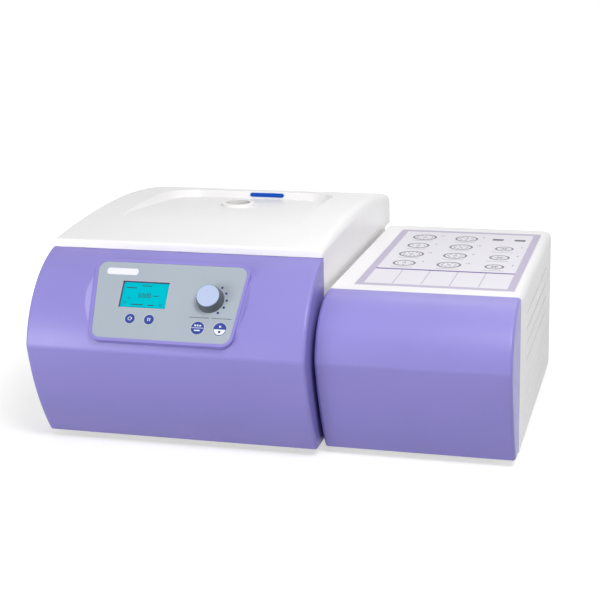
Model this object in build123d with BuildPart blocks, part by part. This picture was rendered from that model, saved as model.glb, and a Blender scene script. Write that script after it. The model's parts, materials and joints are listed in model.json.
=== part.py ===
from build123d import *
from math import cos, pi, radians, sin, sqrt, tan
import os

# Refrigerated bench centrifuge: a rotor unit with a full-width lid on the left,
# and a cooling unit beside it on a shared base. Lengths are in millimetres.
# X runs to the right, Y to the back and Z up. The origin is under the middle of
# the whole machine, on the bench.

# Main driving dimensions
main_width = 424.0           # rotor unit, side to side
unit_gap = 6.4               # dark slot between the two units
side_width = 279.6           # cooling unit, side to side
nose_depth = 112.0           # nose of the front cover ahead of its top edge
lid_reach = 503.0            # back of the lid behind the cover's top edge
body_reach = 457.0           # back of both bodies behind the same edge
foot_height = 12.0
main_cover_height = 277.5    # front cover of the rotor unit
side_cover_height = 231.3    # front cover and cabinet of the cooling unit
skirt_height = 228.0         # lower edge of the lid's side skirts
lid_front_height = 290.0     # top of the lid at its front lip
crown_rise = 15.5            # the lid's crown above its front lip
crown_place = 235.0          # the crown behind the cover's top edge
lid_back_drop = 12.0         # the lid's back under its front lip
seam = 1.0                   # gap between the lid and the covers
lip_seam = 0.5               # the same under the lid's front lip
fit_gap = 0.3                # gap between pieces that must not touch
run_gap = 0.05               # radial clearance of a turning shaft
joint_gap = 0.2              # radial gap where a fixed piece passes a hole

# Sheet and wall thicknesses
cover_wall = 3.5
hood_wall = 3.5
panel_sheet = 2.0
deck_sheet = 2.5
pan_sheet = 2.0

# Base and feet
tongue_depth = 20.0          # lip of the base inside the front covers
tongue_gap = 1.0
foot_radius = 13.0
foot_flare = 2.0
foot_inset = 42.0
flange = 12.0                # folded edge along the top of the side panels

# Front covers, measured from their own top edge and lower edge
nose_height = 153.0
main_foot_depth = 42.0       # lower front edge ahead of the top edge
main_upper_bulge = 24.0      # rise of the upper curve over its chord
main_lower_bulge = 9.5
side_nose_depth = 88.0
side_nose_height = 145.0
side_foot_depth = 28.0
side_lower_bulge = 6.0
side_setback = 3.0           # the side cover's top edge behind the main one
cover_return = 7.0           # the covers' sides behind their top edges
crease_radius = 16.0
cover_edge_radius = 5.0      # upright edges of the rotor unit's cover
side_edge_radius = 12.0      # outer long edge of the cooling unit's cabinet
side_seam_radius = 4.0       # its long edge beside the rotor unit
side_cover_radius = 5.0      # upright edges of its cover
brow_radius = 7.5
hem_radius = 3.0

# Control panel, flat and leaning back, in its own plane
panel_lean = 38.0            # from the vertical
panel_shift = -2.0           # its middle, from the middle of the unit
panel_ahead = 77.0           # its middle ahead of the cover's top edge
panel_height = 221.3         # its middle above the cover's lower edge
panel_top_width = 231.0
panel_foot_width = 208.0
panel_length = 120.0
panel_corner = 13.0
rim_width = 4.5
rim_height = 1.4
well_margin = 3.0            # the cover is cut back this far round the rim
well_height = 30.0
well_flare = 60.0            # lean of the cut's walls, in degrees
plinth_depth = 24.0          # the raised panel's sides, down into the cover

# Places of the two units
overall_width = main_width + unit_gap + side_width
panel_foot = (panel_length / 2 + rim_width) * sin(radians(panel_lean))
panel_reach = panel_ahead + panel_foot + rim_height * cos(radians(panel_lean))
front_reach = max(nose_depth, panel_reach)
overall_depth = front_reach + lid_reach
main_left = -overall_width / 2
main_right = main_left + main_width
main_mid = (main_left + main_right) / 2
side_left = main_right + unit_gap
side_right = overall_width / 2
side_mid = (side_left + side_right) / 2
edge_y = front_reach - overall_depth / 2
rear_y = edge_y + body_reach
base_z = foot_height
pan_top = base_z + pan_sheet
cover_top = base_z + main_cover_height
side_top = base_z + side_cover_height
skirt_z = base_z + skirt_height
lip_z = base_z + lid_front_height
body_y = edge_y + cover_return           # where the side panels start
side_edge_y = edge_y + side_setback
side_body_y = side_edge_y + cover_return
panel_top = skirt_z - seam

# Rotor chamber
bowl_radius = 145.0          # inside
bowl_depth = 128.0
bowl_sheet = 1.2
bowl_rim = 9.0
bowl_corner = 30.0
bowl_hole_radius = 32.0
deck_drop = 12.5             # deck under the top of the front cover
deck_inset = 2.5             # deck walls inside the lid's skirts
deck_corner = 6.0
deck_top = cover_top - deck_drop
bowl_floor = deck_top - bowl_depth
bowl_outer = bowl_radius + bowl_sheet

# Evaporator and insulation
coil_pipe_radius = 4.75
coil_turns = 7
coil_pitch = 12.5
coil_lift = 29.0             # first turn above the bowl's floor
foam_wall = 17.0
foam_floor = 16.0
chamber_room = 6.7           # between the foam and the cabinet's back
coil_radius = bowl_outer + coil_pipe_radius + fit_gap
foam_inner = coil_radius + coil_pipe_radius + fit_gap
foam_outer = foam_inner + foam_wall
rotor_y = rear_y - chamber_room - foam_outer
coil_low = bowl_floor + coil_lift
coil_high = coil_low + coil_pitch * coil_turns
suction_out = 110.0          # where the two pipes leave, ahead of the rotor axis
capillary_out = 125.0        # and behind it
capillary_drop = 115.0
crossing_radius = 12.0
pipe_crossings = [
    (rotor_y - suction_out, coil_low),
    (rotor_y + capillary_out, coil_high - capillary_drop),
]

# Drive
motor_radius = 56.0
motor_height = 86.0
motor_end_wall = 9.0
motor_room = 6.0             # foam's hole round the motor
motor_edge_radius = 5.0
damper_radius = 13.0
damper_height = 18.0
damper_circle = 62.0
motor_plate_sheet = 4.0
motor_plate_radius = 78.0
shaft_radius = 6.0
shaft_foot_gap = 2.0
shaft_top_drop = 14.0        # end of the shaft under the rotor's top
collar_width = 8.0           # collar that the rotor sits on
collar_height = 8.0
bearing_radius = 14.0
stator_radius = 46.0
stator_inset = 6.0           # between the windings and the end walls
armature_radius = 25.0
armature_length = 52.0
air_gap = 0.6
boot_overlap = 8.0           # rubber boot under the bowl, round its hole
boot_bore_radius = 20.0
rotor_radius = 112.0
rotor_height = 84.0
rotor_foot_inset = 20.0
rotor_foot_height = 14.0
rotor_cone_height = 40.0
rotor_cone_radius = 82.0
rotor_dish_radius = 36.0
rotor_dish_depth = 24.0
rotor_dish_slope = 6.0
nut_radius = 14.0
nut_rise = 2.0               # nut above the rotor's top
nut_grip_radius = 4.0
nut_grip_depth = 20.0
nut_grips = 6
rotor_lift = 12.0            # rotor above the chamber's floor
pocket_count = 6
pocket_radius = 15.0
pocket_depth = 68.0
pocket_tilt = 25.0
pocket_circle = 58.0
pocket_top_drop = 6.0

# Lid
lip_edge_radius = 4.0
lid_front_corner = 9.0       # rounding of the side edges at the front lip
lid_side_corner = 14.0       # the same from the crown to the back
lid_back_radius = 8.0
hood_sections = 7            # sections that the lid's form is lofted through
lid_lip_inset = 2.0          # lid's lip behind the cover's top edge
hollow_start = 150.0         # where the sunk field's floor leaves the lid's top
hollow_end = 384.0           # foot of its rear wall
hollow_drop = 18.4           # floor's fall over that length
hollow_half_width = 141.0    # half its width at the rear wall's foot
hollow_corner = 55.0
hollow_draft = 20.0          # lean of its walls from the vertical, in degrees
hollow_blend = 200.0         # the floor bends up to the lid's top ahead of this
hollow_lead = 100.0          # and has left the top at this place
hollow_clear = 0.4           # by this much
hollow_front = 30.0          # front end of the cutting shape
hollow_space = 36.0          # height of the cutting shape
liner_sheet = 2.5
liner_front = 14.0
liner_back = 440.0
gasket_height = 6.5
gasket_width = 12.0
port_radius = 20.0
port_sleeve_radius = 23.0
port_flange_radius = 28.0
port_flange_height = 6.2     # ring over the field at the port's middle
port_edge_radius = 1.5
glass_depth = 8.0            # glass under the ring's top
glass_sheet = 3.0
bar_length = 60.0
bar_height = 7.0
bar_sheet = 1.5
bar_lift = 6.0               # its middle above the field
bar_shift = 19.0             # and right of the unit's middle

# Lid hinge, behind the body and inside the lid's overhang
hinge_reach = 478.0
hinge_height = 238.0
hinge_spread = 165.0
hinge_pin_radius = 4.0
hinge_boss_radius = 9.0
arm_sheet = 5.0
ear_sheet = 4.0
ear_radius = 10.0
arm_width = 14.0
arm_overlap = 50.0           # arms over the liner's back
arm_drop = 4.0
arm_rise = 4.0
bracket_sheet = 3.0
bracket_wing = 10.0
bracket_drop = 24.0          # under the hinge axis
bracket_rise = 16.0
hinge_y = edge_y + hinge_reach
hinge_z = base_z + hinge_height

# Lid lock
striker_place = 32.0         # behind the cover's top edge
striker_width = 14.0
striker_sheet = 4.0
striker_room = 4.0           # room round it in the deck's slot
striker_reach = 34.0         # under the liner
bolt_radius = 3.0
bolt_room = 1.5              # room round it in the striker's hole
bolt_length = 26.0
bolt_rest = 1.0              # its tip out of the solenoid at rest
bolt_drop = 26.0             # bolt axis under the liner
solenoid_length = 36.0
solenoid_side = 26.0
solenoid_gap = 5.0           # behind the striker
solenoid_floor = 4.0
solenoid_ear = 10.0
striker_corner = 3.0

# Back of the rotor unit
rear_slot_rows = 6
rear_slot_pitch = 10.0
rear_slot_length = 120.0
rear_slot_width = 4.0
rear_slot_x = 60.0           # from the middle of the unit
rear_slot_height = 70.0      # their middle above the base
inlet_place = 70.0           # from the left side
inlet_height_up = 52.0       # above the base
inlet_width = 28.0
inlet_height = 20.0
inlet_depth = 18.0
inlet_flange = 3.0
flange_sheet = 2.0
socket_wall = 1.8
contact_width = 2.0
contact_height = 4.0
contact_places = [(-7, -3), (7, -3), (0, 2.5)]
switch_spacing = 52.0        # switch beside the inlet
switch_width = 22.0
switch_height = 30.0
bezel_wall = 1.5
bezel_depth = 16.0
rocker_width = 18.4
rocker_half = 12.5
rocker_depth = 8.0
rocker_tilt = 8.0            # its rest position, off
rocker_pivot_depth = 2.0
rocker_pin_radius = 1.5
rocker_pin_reach = 1.2

# Display, knob and keys, in the panel's own plane
overlay_sheet = 1.0
window_width = 72.0
window_height = 42.0
window_inset = 79.5          # its middle, from the overlay's left end
window_y = 9.5
window_sheet = 1.5
module_width = 93.0
module_height = 62.0
module_depth = 8.5
knob_inset = 49.2            # its axis, from the overlay's right end
knob_y = 7.0
knob_foot_radius = 20.5
knob_top_radius = 17.4
knob_height = 15.0
knob_crown = 3.0             # knob above the end of its spindle
knob_bevel = 0.6
knob_hollow_radius = 9.0
knob_hollow_depth = 6.0
cap_sheet = 1.0
cap_radius = 16.6
spindle_radius = 3.0
encoder_bush_radius = 4.5
encoder_side = 14.0
bush_rise = 2.2              # encoder's threaded bush above the overlay
encoder_floor = 2.0
key_travel = 0.6
key_rise = 0.5               # keys above the overlay
key_stem_radius = 3.0
key_stem_reach = 5.0         # stems behind the cover
small_key_radius = 7.2
large_key_radius = 9.6
board_sheet = 1.6
board_left_reach = 61.0      # board's left end, from the window's middle
board_right_reach = 36.7     # and its right end, from the knob's axis
board_breadth = 106.0
board_y = -4.0
board_corner = 3.0
window_x = window_inset - panel_top_width / 2
knob_x = panel_top_width / 2 - knob_inset
board_length = knob_x - window_x + board_left_reach + board_right_reach
board_x = (window_x - board_left_reach + knob_x + board_right_reach) / 2
board_posts = [
    (window_x - 54, 40),
    (window_x - 54, -40),
    (knob_x + 29.7, 36),
    (knob_x - 36.3, -48),
]
key_places = {
    "key_short_spin": (window_x - 14.2, -28.8, small_key_radius),
    "key_brake": (window_x + 15.1, -28.8, small_key_radius),
    "key_program": (knob_x - 12, -37.4, large_key_radius),
    "key_start_stop": (knob_x + 21.4, -37.4, large_key_radius),
}

# Control board on the base, with its transformer, heat sink and capacitors
power_board_inset = 40.0
power_board_front = 8.0
power_board_length = 230.0
power_board_depth = 84.0
standoff_height = 8.0
standoff_radius = 3.0
standoff_inset = 6.0
board_blocks = [((20, 90), (20, 70), 45), ((110, 170), (40, 52), 30)]
capacitor_places = (120, 150, 180)
capacitor_y = 22.0
capacitor_radius = 11.0
capacitor_height = 32.0

# Cooling unit
compressor_radius = 62.0
compressor_height = 150.0
compressor_dome = 28.0
compressor_mount_height = 14.0
compressor_foot_sheet = 3.0
compressor_foot_length = 150.0
compressor_foot_width = 110.0
mount_radius = 9.0
mount_inset = 10.0
compressor_side = 88.0       # its axis, from the unit's left side
compressor_back = 110.0      # and from the unit's back
condenser_depth = 36.0
condenser_length = 210.0
condenser_height = 176.0
condenser_inset = 14.0
condenser_front = 50.0       # behind the front cover
condenser_runs = 6
condenser_run_pitch = 28.0
condenser_first_run = 20.0
fin_sheet = 1.2
fin_pitch = 6.0
fin_web = 2.0                # round the tube
fin_frame = 3.0
tube_overhang = 2.0          # bends outside the fins
tube_stub = 12.0
shroud_depth = 26.0
fan_radius = 80.0
fan_hub_radius = 24.0
fan_blade_count = 5
fan_motor_radius = 30.0
fan_motor_length = 34.0
fan_motor_floor = 4.0
fan_room = 3.0               # round the blades in the shroud
fan_arm_sheet = 3.0
fan_arm_width = 10.0
fan_arm_seat = 3.0
fan_shaft_radius = 3.0
fan_hub_gap = 3.0
fan_hub_length = 14.0
blade_pitch = 30.0           # in degrees
blade_chord = 30.6
blade_sheet = 1.8
blade_root = 4.0
line_radius = 4.0
capillary_radius = 1.5
line_wall = 0.8
line_bend = 16.0
liquid_radius = 3.0
small_bend = 8.0
liquid_inset = 20.0          # liquid pipe ahead of the rear panel
compressor_port = 60.0
drier_place = 22.0           # filter drier, from the unit's left side
drier_radius = 9.0
drier_length = 70.0
drier_drop = 20.0            # under the capillary pipe
drier_edge_radius = 4.0
louvre_rows = 4
louvre_pitch = 24.0
louvre_length = 285.0
louvre_slot = 2.6
louvre_front = 95.0          # behind the rotor unit's cover edge
louvre_drop = 82.0           # their middle under the cabinet's top
vent_height = 51.0           # middle of the short slots above the base
vent_pitch = 16.0
vent_row_pitch = 18.0
vent_length = 10.0
grille_rows = 14
grille_pitch = 10.0
grille_length = 190.0
grille_slot = 4.0
vent_rows = 4
vent_columns = 18
label_sheet = 0.4
label_left_margin = 30.0
label_right_margin = 12.0
label_front_margin = 39.0
label_back_margin = 32.0
label_corner = 4.0

os.makedirs("parts", exist_ok=True)


def slab(x, y, z, mode=Mode.ADD):
    """Box between two limits on each axis."""
    with Locations(((x[0] + x[1]) / 2, (y[0] + y[1]) / 2, (z[0] + z[1]) / 2)):
        return Box(x[1] - x[0], y[1] - y[0], z[1] - z[0], mode=mode)


def rod(place, along, radius, length, mode=Mode.ADD):
    """Round bar from a place, along a direction."""
    with Locations(Plane(origin=place, z_dir=along)):
        ends = (Align.CENTER, Align.CENTER, Align.MIN)
        return Cylinder(radius, length, align=ends, mode=mode)


def write_part(builder, name):
    """Label a finished piece and write it to its file."""
    builder.part.label = name
    export_step(builder.part, f"parts/{name}.step")


UP = (0, 0, 1)
DOWN = (0, 0, -1)
RIGHT = (1, 0, 0)
LEFT = (-1, 0, 0)
BACK = (0, 1, 0)
FRONT = (0, -1, 0)


# Front covers: two soft curves that meet in a crease at the nose
def cover_form(left, right, edge, top, nose, nose_z, foot, upper_bulge, lower_bulge, corner, inset):
    """The cover's outer form, or its inner form when it has an inset.

    With no upper bulge the upper curve leaves the flat top without an edge.
    """
    back = edge + cover_return + (inset + 10 if inset else 0)
    low = base_z - (inset + 10 if inset else 0)
    floor = [(edge - foot, base_z), (edge - foot, low), (back, low), (back, top)]
    with BuildPart() as form:
        with BuildSketch(Plane.YZ.offset(left + inset)):
            with BuildLine():
                Line((back, top), (edge, top))
                if upper_bulge:
                    SagittaArc((edge, top), (edge - nose, nose_z), -upper_bulge)
                else:
                    TangentArc((edge, top), (edge - nose, nose_z), tangent=(-1, 0))
                SagittaArc((edge - nose, nose_z), (edge - foot, base_z), -lower_bulge)
                Polyline(*(floor if inset else floor[1:]))
            make_face()
            if inset:
                offset(amount=-inset)
        extrude(amount=right - left - 2 * inset)
        if upper_bulge:
            brow = form.edges().filter_by(Axis.X).group_by(Axis.Z)[-1].sort_by(Axis.Y)[0]
            fillet(brow, brow_radius - inset)
        crease = form.edges().filter_by(Axis.X).sort_by(Axis.Y)[0]
        fillet(crease, crease_radius - inset)
        if not inset:
            hem = form.edges().filter_by(Axis.X).group_by(Axis.Z)[0].sort_by(Axis.Y)[0]
            fillet(hem, hem_radius)
        rims = form.faces().filter_by(Axis.X).edges()
        rounded = [e for e in rims if e.center().Y < back - 0.1 and e.center().Z > low + 0.1]
        fillet(rounded, corner - inset)
    return form.part


nose_z = base_z + nose_height
side_nose_z = base_z + side_nose_height
main_curves = (main_foot_depth, main_upper_bulge, main_lower_bulge, cover_edge_radius)
side_curves = (side_foot_depth, 0, side_lower_bulge, side_cover_radius)
main_shape = (edge_y, cover_top, nose_depth, nose_z, *main_curves)
side_shape = (side_edge_y, side_top, side_nose_depth, side_nose_z, *side_curves)

# The control panel's own plane: X to the right, Y up the slope, Z out of the cover
panel_origin = (main_mid + panel_shift, edge_y - panel_ahead, base_z + panel_height)
panel_normal = (0, -cos(radians(panel_lean)), sin(radians(panel_lean)))
panel_plane = Plane(origin=panel_origin, x_dir=RIGHT, z_dir=panel_normal)


def panel_prism(margin, start, height, flare=0):
    """Prism of the panel's outline, grown by a margin, from a start height."""
    half = panel_length / 2
    with BuildPart() as prism:
        with BuildSketch(panel_plane.offset(start)):
            with BuildLine():
                Polyline(
                    (-panel_top_width / 2, half),
                    (panel_top_width / 2, half),
                    (panel_foot_width / 2, -half),
                    (-panel_foot_width / 2, -half),
                    close=True,
                )
            outline = make_face()
            fillet(outline.vertices(), panel_corner)
            if margin:
                offset(amount=margin)
        extrude(amount=height, taper=-flare)
    return prism.part


def panel_point(x, y, z):
    """World place of a point given in the panel's own plane."""
    return panel_plane.from_local_coords((x, y, z))


def panel_hole(x, y, radius, start, height, mode=Mode.SUBTRACT):
    """Round hole or post standing square to the panel."""
    rod(panel_point(x, y, start), panel_normal, radius, height, mode)


module_back = -cover_wall - module_depth
board_back = module_back - board_sheet

with BuildPart() as inner_cover:
    add(cover_form(main_left, main_right, *main_shape, cover_wall))
    add(panel_prism(rim_width - cover_wall, -plinth_depth, plinth_depth - cover_wall))
    inner_margin = rim_width + well_margin + cover_wall
    add(panel_prism(inner_margin, -cover_wall, well_height, well_flare), mode=Mode.SUBTRACT)

with BuildPart() as front_cover:
    add(cover_form(main_left, main_right, *main_shape, 0))
    add(panel_prism(rim_width, -plinth_depth, plinth_depth))
    add(panel_prism(rim_width + well_margin, 0, well_height, well_flare), mode=Mode.SUBTRACT)
    add(panel_prism(rim_width, 0, rim_height))
    add(panel_prism(0, 0, rim_height), mode=Mode.SUBTRACT)
    add(inner_cover.part, mode=Mode.SUBTRACT)
    with BuildSketch(panel_plane.offset(-cover_wall)):
        with Locations((window_x, window_y)):
            Rectangle(window_width, window_height)
    extrude(amount=cover_wall, mode=Mode.SUBTRACT)
    panel_hole(knob_x, knob_y, encoder_bush_radius + joint_gap, -cover_wall, cover_wall)
    for key_x, key_y, key_radius in key_places.values():
        panel_hole(key_x, key_y, key_stem_radius + fit_gap, -cover_wall, cover_wall)
    for post_x, post_y in board_posts:
        panel_hole(post_x, post_y, key_stem_radius, module_back, module_depth, Mode.ADD)
write_part(front_cover, "front_cover")

with BuildPart() as side_front_cover:
    add(cover_form(side_left, side_right, *side_shape, 0))
    add(cover_form(side_left, side_right, *side_shape, cover_wall), mode=Mode.SUBTRACT)
write_part(side_front_cover, "side_front_cover")

# Control panel pieces
with BuildPart() as control_overlay:
    add(panel_prism(-fit_gap / 2, 0, overlay_sheet))
    with BuildSketch(panel_plane):
        with Locations((window_x, window_y)):
            Rectangle(window_width, window_height)
    extrude(amount=overlay_sheet, mode=Mode.SUBTRACT)
    panel_hole(knob_x, knob_y, encoder_bush_radius + fit_gap, 0, overlay_sheet)
    for key_x, key_y, key_radius in key_places.values():
        panel_hole(key_x, key_y, key_radius + fit_gap, 0, overlay_sheet)
write_part(control_overlay, "control_overlay")

with BuildPart() as display_window:
    with BuildSketch(panel_plane.offset(-cover_wall)):
        with Locations((window_x, window_y)):
            Rectangle(window_width, window_height)
    extrude(amount=window_sheet)
write_part(display_window, "display_window")

with BuildPart() as display_module:
    with BuildSketch(panel_plane.offset(module_back)):
        with Locations((window_x, window_y)):
            Rectangle(module_width, module_height)
    extrude(amount=module_depth)
write_part(display_module, "display_module")

with BuildPart() as display_board:
    with BuildSketch(panel_plane.offset(board_back)):
        with Locations((board_x, board_y)):
            RectangleRounded(board_length, board_breadth, board_corner)
    extrude(amount=board_sheet)
    for key_x, key_y, key_radius in key_places.values():
        post_height = module_depth - key_stem_reach - key_travel - fit_gap
        panel_hole(key_x, key_y, key_stem_radius, module_back, post_height, Mode.ADD)
write_part(display_board, "display_board")

with BuildPart() as encoder_body:
    with BuildSketch(panel_plane.offset(module_back)):
        with Locations((knob_x, knob_y)):
            Rectangle(encoder_side, encoder_side)
    extrude(amount=module_depth)
    bush_height = cover_wall + overlay_sheet + bush_rise
    panel_hole(knob_x, knob_y, encoder_bush_radius, -cover_wall, bush_height, Mode.ADD)
    panel_hole(knob_x, knob_y, spindle_radius + run_gap, module_back + encoder_floor, well_height)
write_part(encoder_body, "encoder_body")

knob_foot = overlay_sheet + fit_gap
knob_top = knob_foot + knob_height
with BuildPart() as control_knob:
    with BuildSketch(panel_plane.offset(knob_foot)):
        with Locations((knob_x, knob_y)):
            Circle(knob_foot_radius)
    with BuildSketch(panel_plane.offset(knob_top)):
        with Locations((knob_x, knob_y)):
            Circle(knob_top_radius)
    loft()
    chamfer(control_knob.edges().sort_by(Axis(panel_origin, panel_normal))[-1], knob_bevel)
    panel_hole(knob_x, knob_y, cap_radius, knob_top - cap_sheet / 2, cap_sheet)
    panel_hole(knob_x, knob_y, knob_hollow_radius, knob_foot, knob_hollow_depth)
    panel_hole(knob_x, knob_y, spindle_radius, knob_foot, knob_height - knob_crown)
write_part(control_knob, "control_knob")

with BuildPart() as knob_cap:
    panel_hole(knob_x, knob_y, cap_radius, knob_top - cap_sheet / 2, cap_sheet, Mode.ADD)
write_part(knob_cap, "knob_cap")

with BuildPart() as knob_spindle:
    spindle_start = module_back + encoder_floor + fit_gap
    spindle_length = knob_top - knob_crown - spindle_start
    panel_hole(knob_x, knob_y, spindle_radius, spindle_start, spindle_length, Mode.ADD)
write_part(knob_spindle, "knob_spindle")

for key_name, (key_x, key_y, key_radius) in key_places.items():
    with BuildPart() as key:
        key_seat = key_travel + fit_gap
        key_thickness = overlay_sheet + key_rise - key_seat
        panel_hole(key_x, key_y, key_radius, key_seat, key_thickness, Mode.ADD)
        stem_foot = -cover_wall - key_stem_reach
        stem_length = key_seat - stem_foot
        panel_hole(key_x, key_y, key_stem_radius, stem_foot, stem_length, Mode.ADD)
    write_part(key, key_name)

# Shared base with its feet
tongue_y = side_edge_y - side_foot_depth + cover_wall + tongue_gap
with BuildPart() as base_frame:
    slab((main_left, main_right), (body_y, rear_y), (base_z, pan_top))
    slab((main_right, side_right), (side_body_y, rear_y), (base_z, pan_top))
    for low_x, high_x in ((main_left, main_right), (side_left, side_right)):
        inner = (low_x + side_cover_radius, high_x - side_cover_radius)
        slab(inner, (tongue_y, side_body_y), (base_z, pan_top))
        slab(inner, (tongue_y, tongue_y + pan_sheet), (base_z, base_z + tongue_depth))
write_part(base_frame, "base_frame")

foot_xs = (main_left + foot_inset, main_right - foot_inset, side_right - foot_inset)
foot_ys = (edge_y + foot_inset, rear_y - foot_inset)
with BuildPart() as rubber_feet:
    for foot_x in foot_xs:
        for foot_y in foot_ys:
            with Locations(Plane(origin=(foot_x, foot_y, 0), z_dir=UP)):
                ends = (Align.CENTER, Align.CENTER, Align.MIN)
                Cone(foot_radius, foot_radius + foot_flare, foot_height, align=ends)
write_part(rubber_feet, "rubber_feet")

# Casing of the rotor unit: side panels, rear panel and chamber deck
with BuildPart() as left_side_panel:
    slab((main_left, main_left + panel_sheet), (body_y, rear_y), (pan_top, panel_top))
    slab((main_left, main_left + flange), (body_y, rear_y), (panel_top - panel_sheet, panel_top))
write_part(left_side_panel, "left_side_panel")

with BuildPart() as right_side_panel:
    slab((main_right - panel_sheet, main_right), (body_y, rear_y), (pan_top, panel_top))
    slab((main_right - flange, main_right), (body_y, rear_y), (panel_top - panel_sheet, panel_top))
    for pipe_y, pipe_z in pipe_crossings:
        rod((main_right - panel_sheet, pipe_y, pipe_z), RIGHT, crossing_radius, panel_sheet, Mode.SUBTRACT)
write_part(right_side_panel, "right_side_panel")

# Rear panel with its air slots and cut-outs for the mains pieces
inlet_x = main_left + inlet_place
inlet_z = base_z + inlet_height_up
switch_x = inlet_x + switch_spacing
with BuildPart() as rear_panel:
    rear_x = (main_left + panel_sheet, main_right - panel_sheet)
    slab(rear_x, (rear_y - panel_sheet, rear_y), (pan_top, panel_top - panel_sheet))
    with BuildSketch(Plane.XZ.offset(-rear_y)):
        with Locations((main_mid + rear_slot_x, base_z + rear_slot_height)):
            with GridLocations(0, rear_slot_pitch, 1, rear_slot_rows):
                SlotOverall(rear_slot_length, rear_slot_width)
        with Locations((inlet_x, inlet_z)):
            Rectangle(inlet_width, inlet_height)
        with Locations((switch_x, inlet_z)):
            Rectangle(switch_width, switch_height)
    extrude(amount=panel_sheet, mode=Mode.SUBTRACT)
write_part(rear_panel, "rear_panel")

deck_left = main_left + hood_wall + deck_inset
deck_right = main_right - hood_wall - deck_inset
deck_front = body_y + seam
striker_y = edge_y + striker_place
slot_length = striker_width + 2 * striker_room
slot_width = striker_sheet + 2 * striker_room
with BuildPart() as chamber_deck:
    slab((deck_left, deck_right), (deck_front, rear_y), (panel_top, deck_top))
    fillet(chamber_deck.edges().filter_by(Axis.Z), deck_corner)
    deck_x = (deck_left + deck_sheet, deck_right - deck_sheet)
    deck_y = (deck_front + deck_sheet, rear_y - deck_sheet)
    slab(deck_x, deck_y, (panel_top, deck_top - deck_sheet), Mode.SUBTRACT)
    rod((main_mid, rotor_y, deck_top - deck_sheet), UP, bowl_outer, deck_sheet, Mode.SUBTRACT)
    slot_x = (main_mid - slot_length / 2, main_mid + slot_length / 2)
    slot_y = (striker_y - slot_width / 2, striker_y + slot_width / 2)
    slab(slot_x, slot_y, (deck_top - deck_sheet, deck_top), Mode.SUBTRACT)
write_part(chamber_deck, "chamber_deck")

# Stainless bowl, coil round it and foam jacket
rotor_axis = Axis((main_mid, rotor_y, 0), UP)
rotor_section = Plane(origin=(main_mid, rotor_y, 0), x_dir=RIGHT, z_dir=FRONT)
with BuildPart() as rotor_chamber:
    with BuildSketch(rotor_section):
        low = bowl_floor - bowl_sheet
        bend = bowl_corner + bowl_sheet
        with BuildLine():
            Line((bowl_hole_radius, low), (bowl_outer - bend, low))
            RadiusArc((bowl_outer - bend, low), (bowl_outer, low + bend), -bend)
            Polyline(
                (bowl_outer, low + bend),
                (bowl_outer, deck_top),
                (bowl_outer + bowl_rim, deck_top),
                (bowl_outer + bowl_rim, deck_top + bowl_sheet),
                (bowl_radius, deck_top + bowl_sheet),
                (bowl_radius, bowl_floor + bowl_corner),
            )
            corner_foot = (bowl_radius - bowl_corner, bowl_floor)
            RadiusArc((bowl_radius, bowl_floor + bowl_corner), corner_foot, bowl_corner)
            Polyline(corner_foot, (bowl_hole_radius, bowl_floor), (bowl_hole_radius, low))
        make_face()
    revolve(axis=rotor_axis)
write_part(rotor_chamber, "rotor_chamber")


def arc_pair(start, start_way, end, end_way):
    """Middle point of two arcs that join two places with the given directions."""
    across = end - start
    both = start_way + end_way
    a = 2 * (1 - start_way.dot(end_way))
    b = 2 * across.dot(both)
    c = -across.dot(across)
    reach = -c / b if a < 1e-9 else (-b + sqrt(b * b - 4 * a * c)) / (2 * a)
    return (start + start_way * reach + end - end_way * reach) * 0.5


def coil_path(middle, radius, low, pitch, turns, first_angle):
    """Points and directions of a coil at every quarter turn."""
    rise = pitch / (2 * pi)
    marks = []
    for quarter in range(int(turns * 4) + 1):
        angle = radians(first_angle) + quarter * pi / 2
        climb = low + pitch * quarter / 4
        place = Vector(middle[0] + radius * cos(angle), middle[1] + radius * sin(angle), climb)
        way = Vector(-radius * sin(angle), radius * cos(angle), rise).normalized()
        marks.append((place, way))
    return marks


coil_marks = coil_path((main_mid, rotor_y), coil_radius, coil_low, coil_pitch, coil_turns, 0)
with BuildPart() as evaporator_coil:
    with BuildLine() as coil_line:
        for (place, way), (next_place, next_way) in zip(coil_marks, coil_marks[1:]):
            middle = arc_pair(place, way, next_place, next_way)
            first = TangentArc(place, middle, tangent=way)
            TangentArc(middle, next_place, tangent=first % 1)
    with BuildSketch(Plane(origin=coil_marks[0][0], z_dir=coil_marks[0][1])):
        Circle(coil_pipe_radius)
        Circle(coil_pipe_radius - 1, mode=Mode.SUBTRACT)
    sweep()
write_part(evaporator_coil, "evaporator_coil")
print("evaporator coil, least gap between turns", round(coil_pitch - 2 * coil_pipe_radius, 2))

foam_top = deck_top - deck_sheet
foam_low = bowl_floor - bowl_sheet - foam_floor
with BuildPart() as insulation_jacket:
    rod((main_mid, rotor_y, foam_low), UP, foam_outer, foam_top - foam_low)
    rod((main_mid, rotor_y, bowl_floor - bowl_sheet), UP, foam_inner, bowl_depth + 20, Mode.SUBTRACT)
    rod((main_mid, rotor_y, foam_low), UP, motor_radius + motor_room, foam_floor, Mode.SUBTRACT)
    pipe_x = main_mid + coil_radius
    rod((pipe_x, rotor_y, coil_low), FRONT, line_radius + fit_gap, suction_out, Mode.SUBTRACT)
    rod((pipe_x, rotor_y, coil_high), BACK, capillary_radius + fit_gap, capillary_out, Mode.SUBTRACT)
write_part(insulation_jacket, "insulation_jacket")

# Drive motor on rubber dampers
plate_low = pan_top + damper_height
plate_top = plate_low + motor_plate_sheet
motor_top = plate_top + motor_height
with BuildPart() as motor_dampers:
    for angle in (90, 210, 330):
        damper_x = main_mid + damper_circle * cos(radians(angle))
        damper_y = rotor_y + damper_circle * sin(radians(angle))
        rod((damper_x, damper_y, pan_top), UP, damper_radius, damper_height)
write_part(motor_dampers, "motor_dampers")

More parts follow.
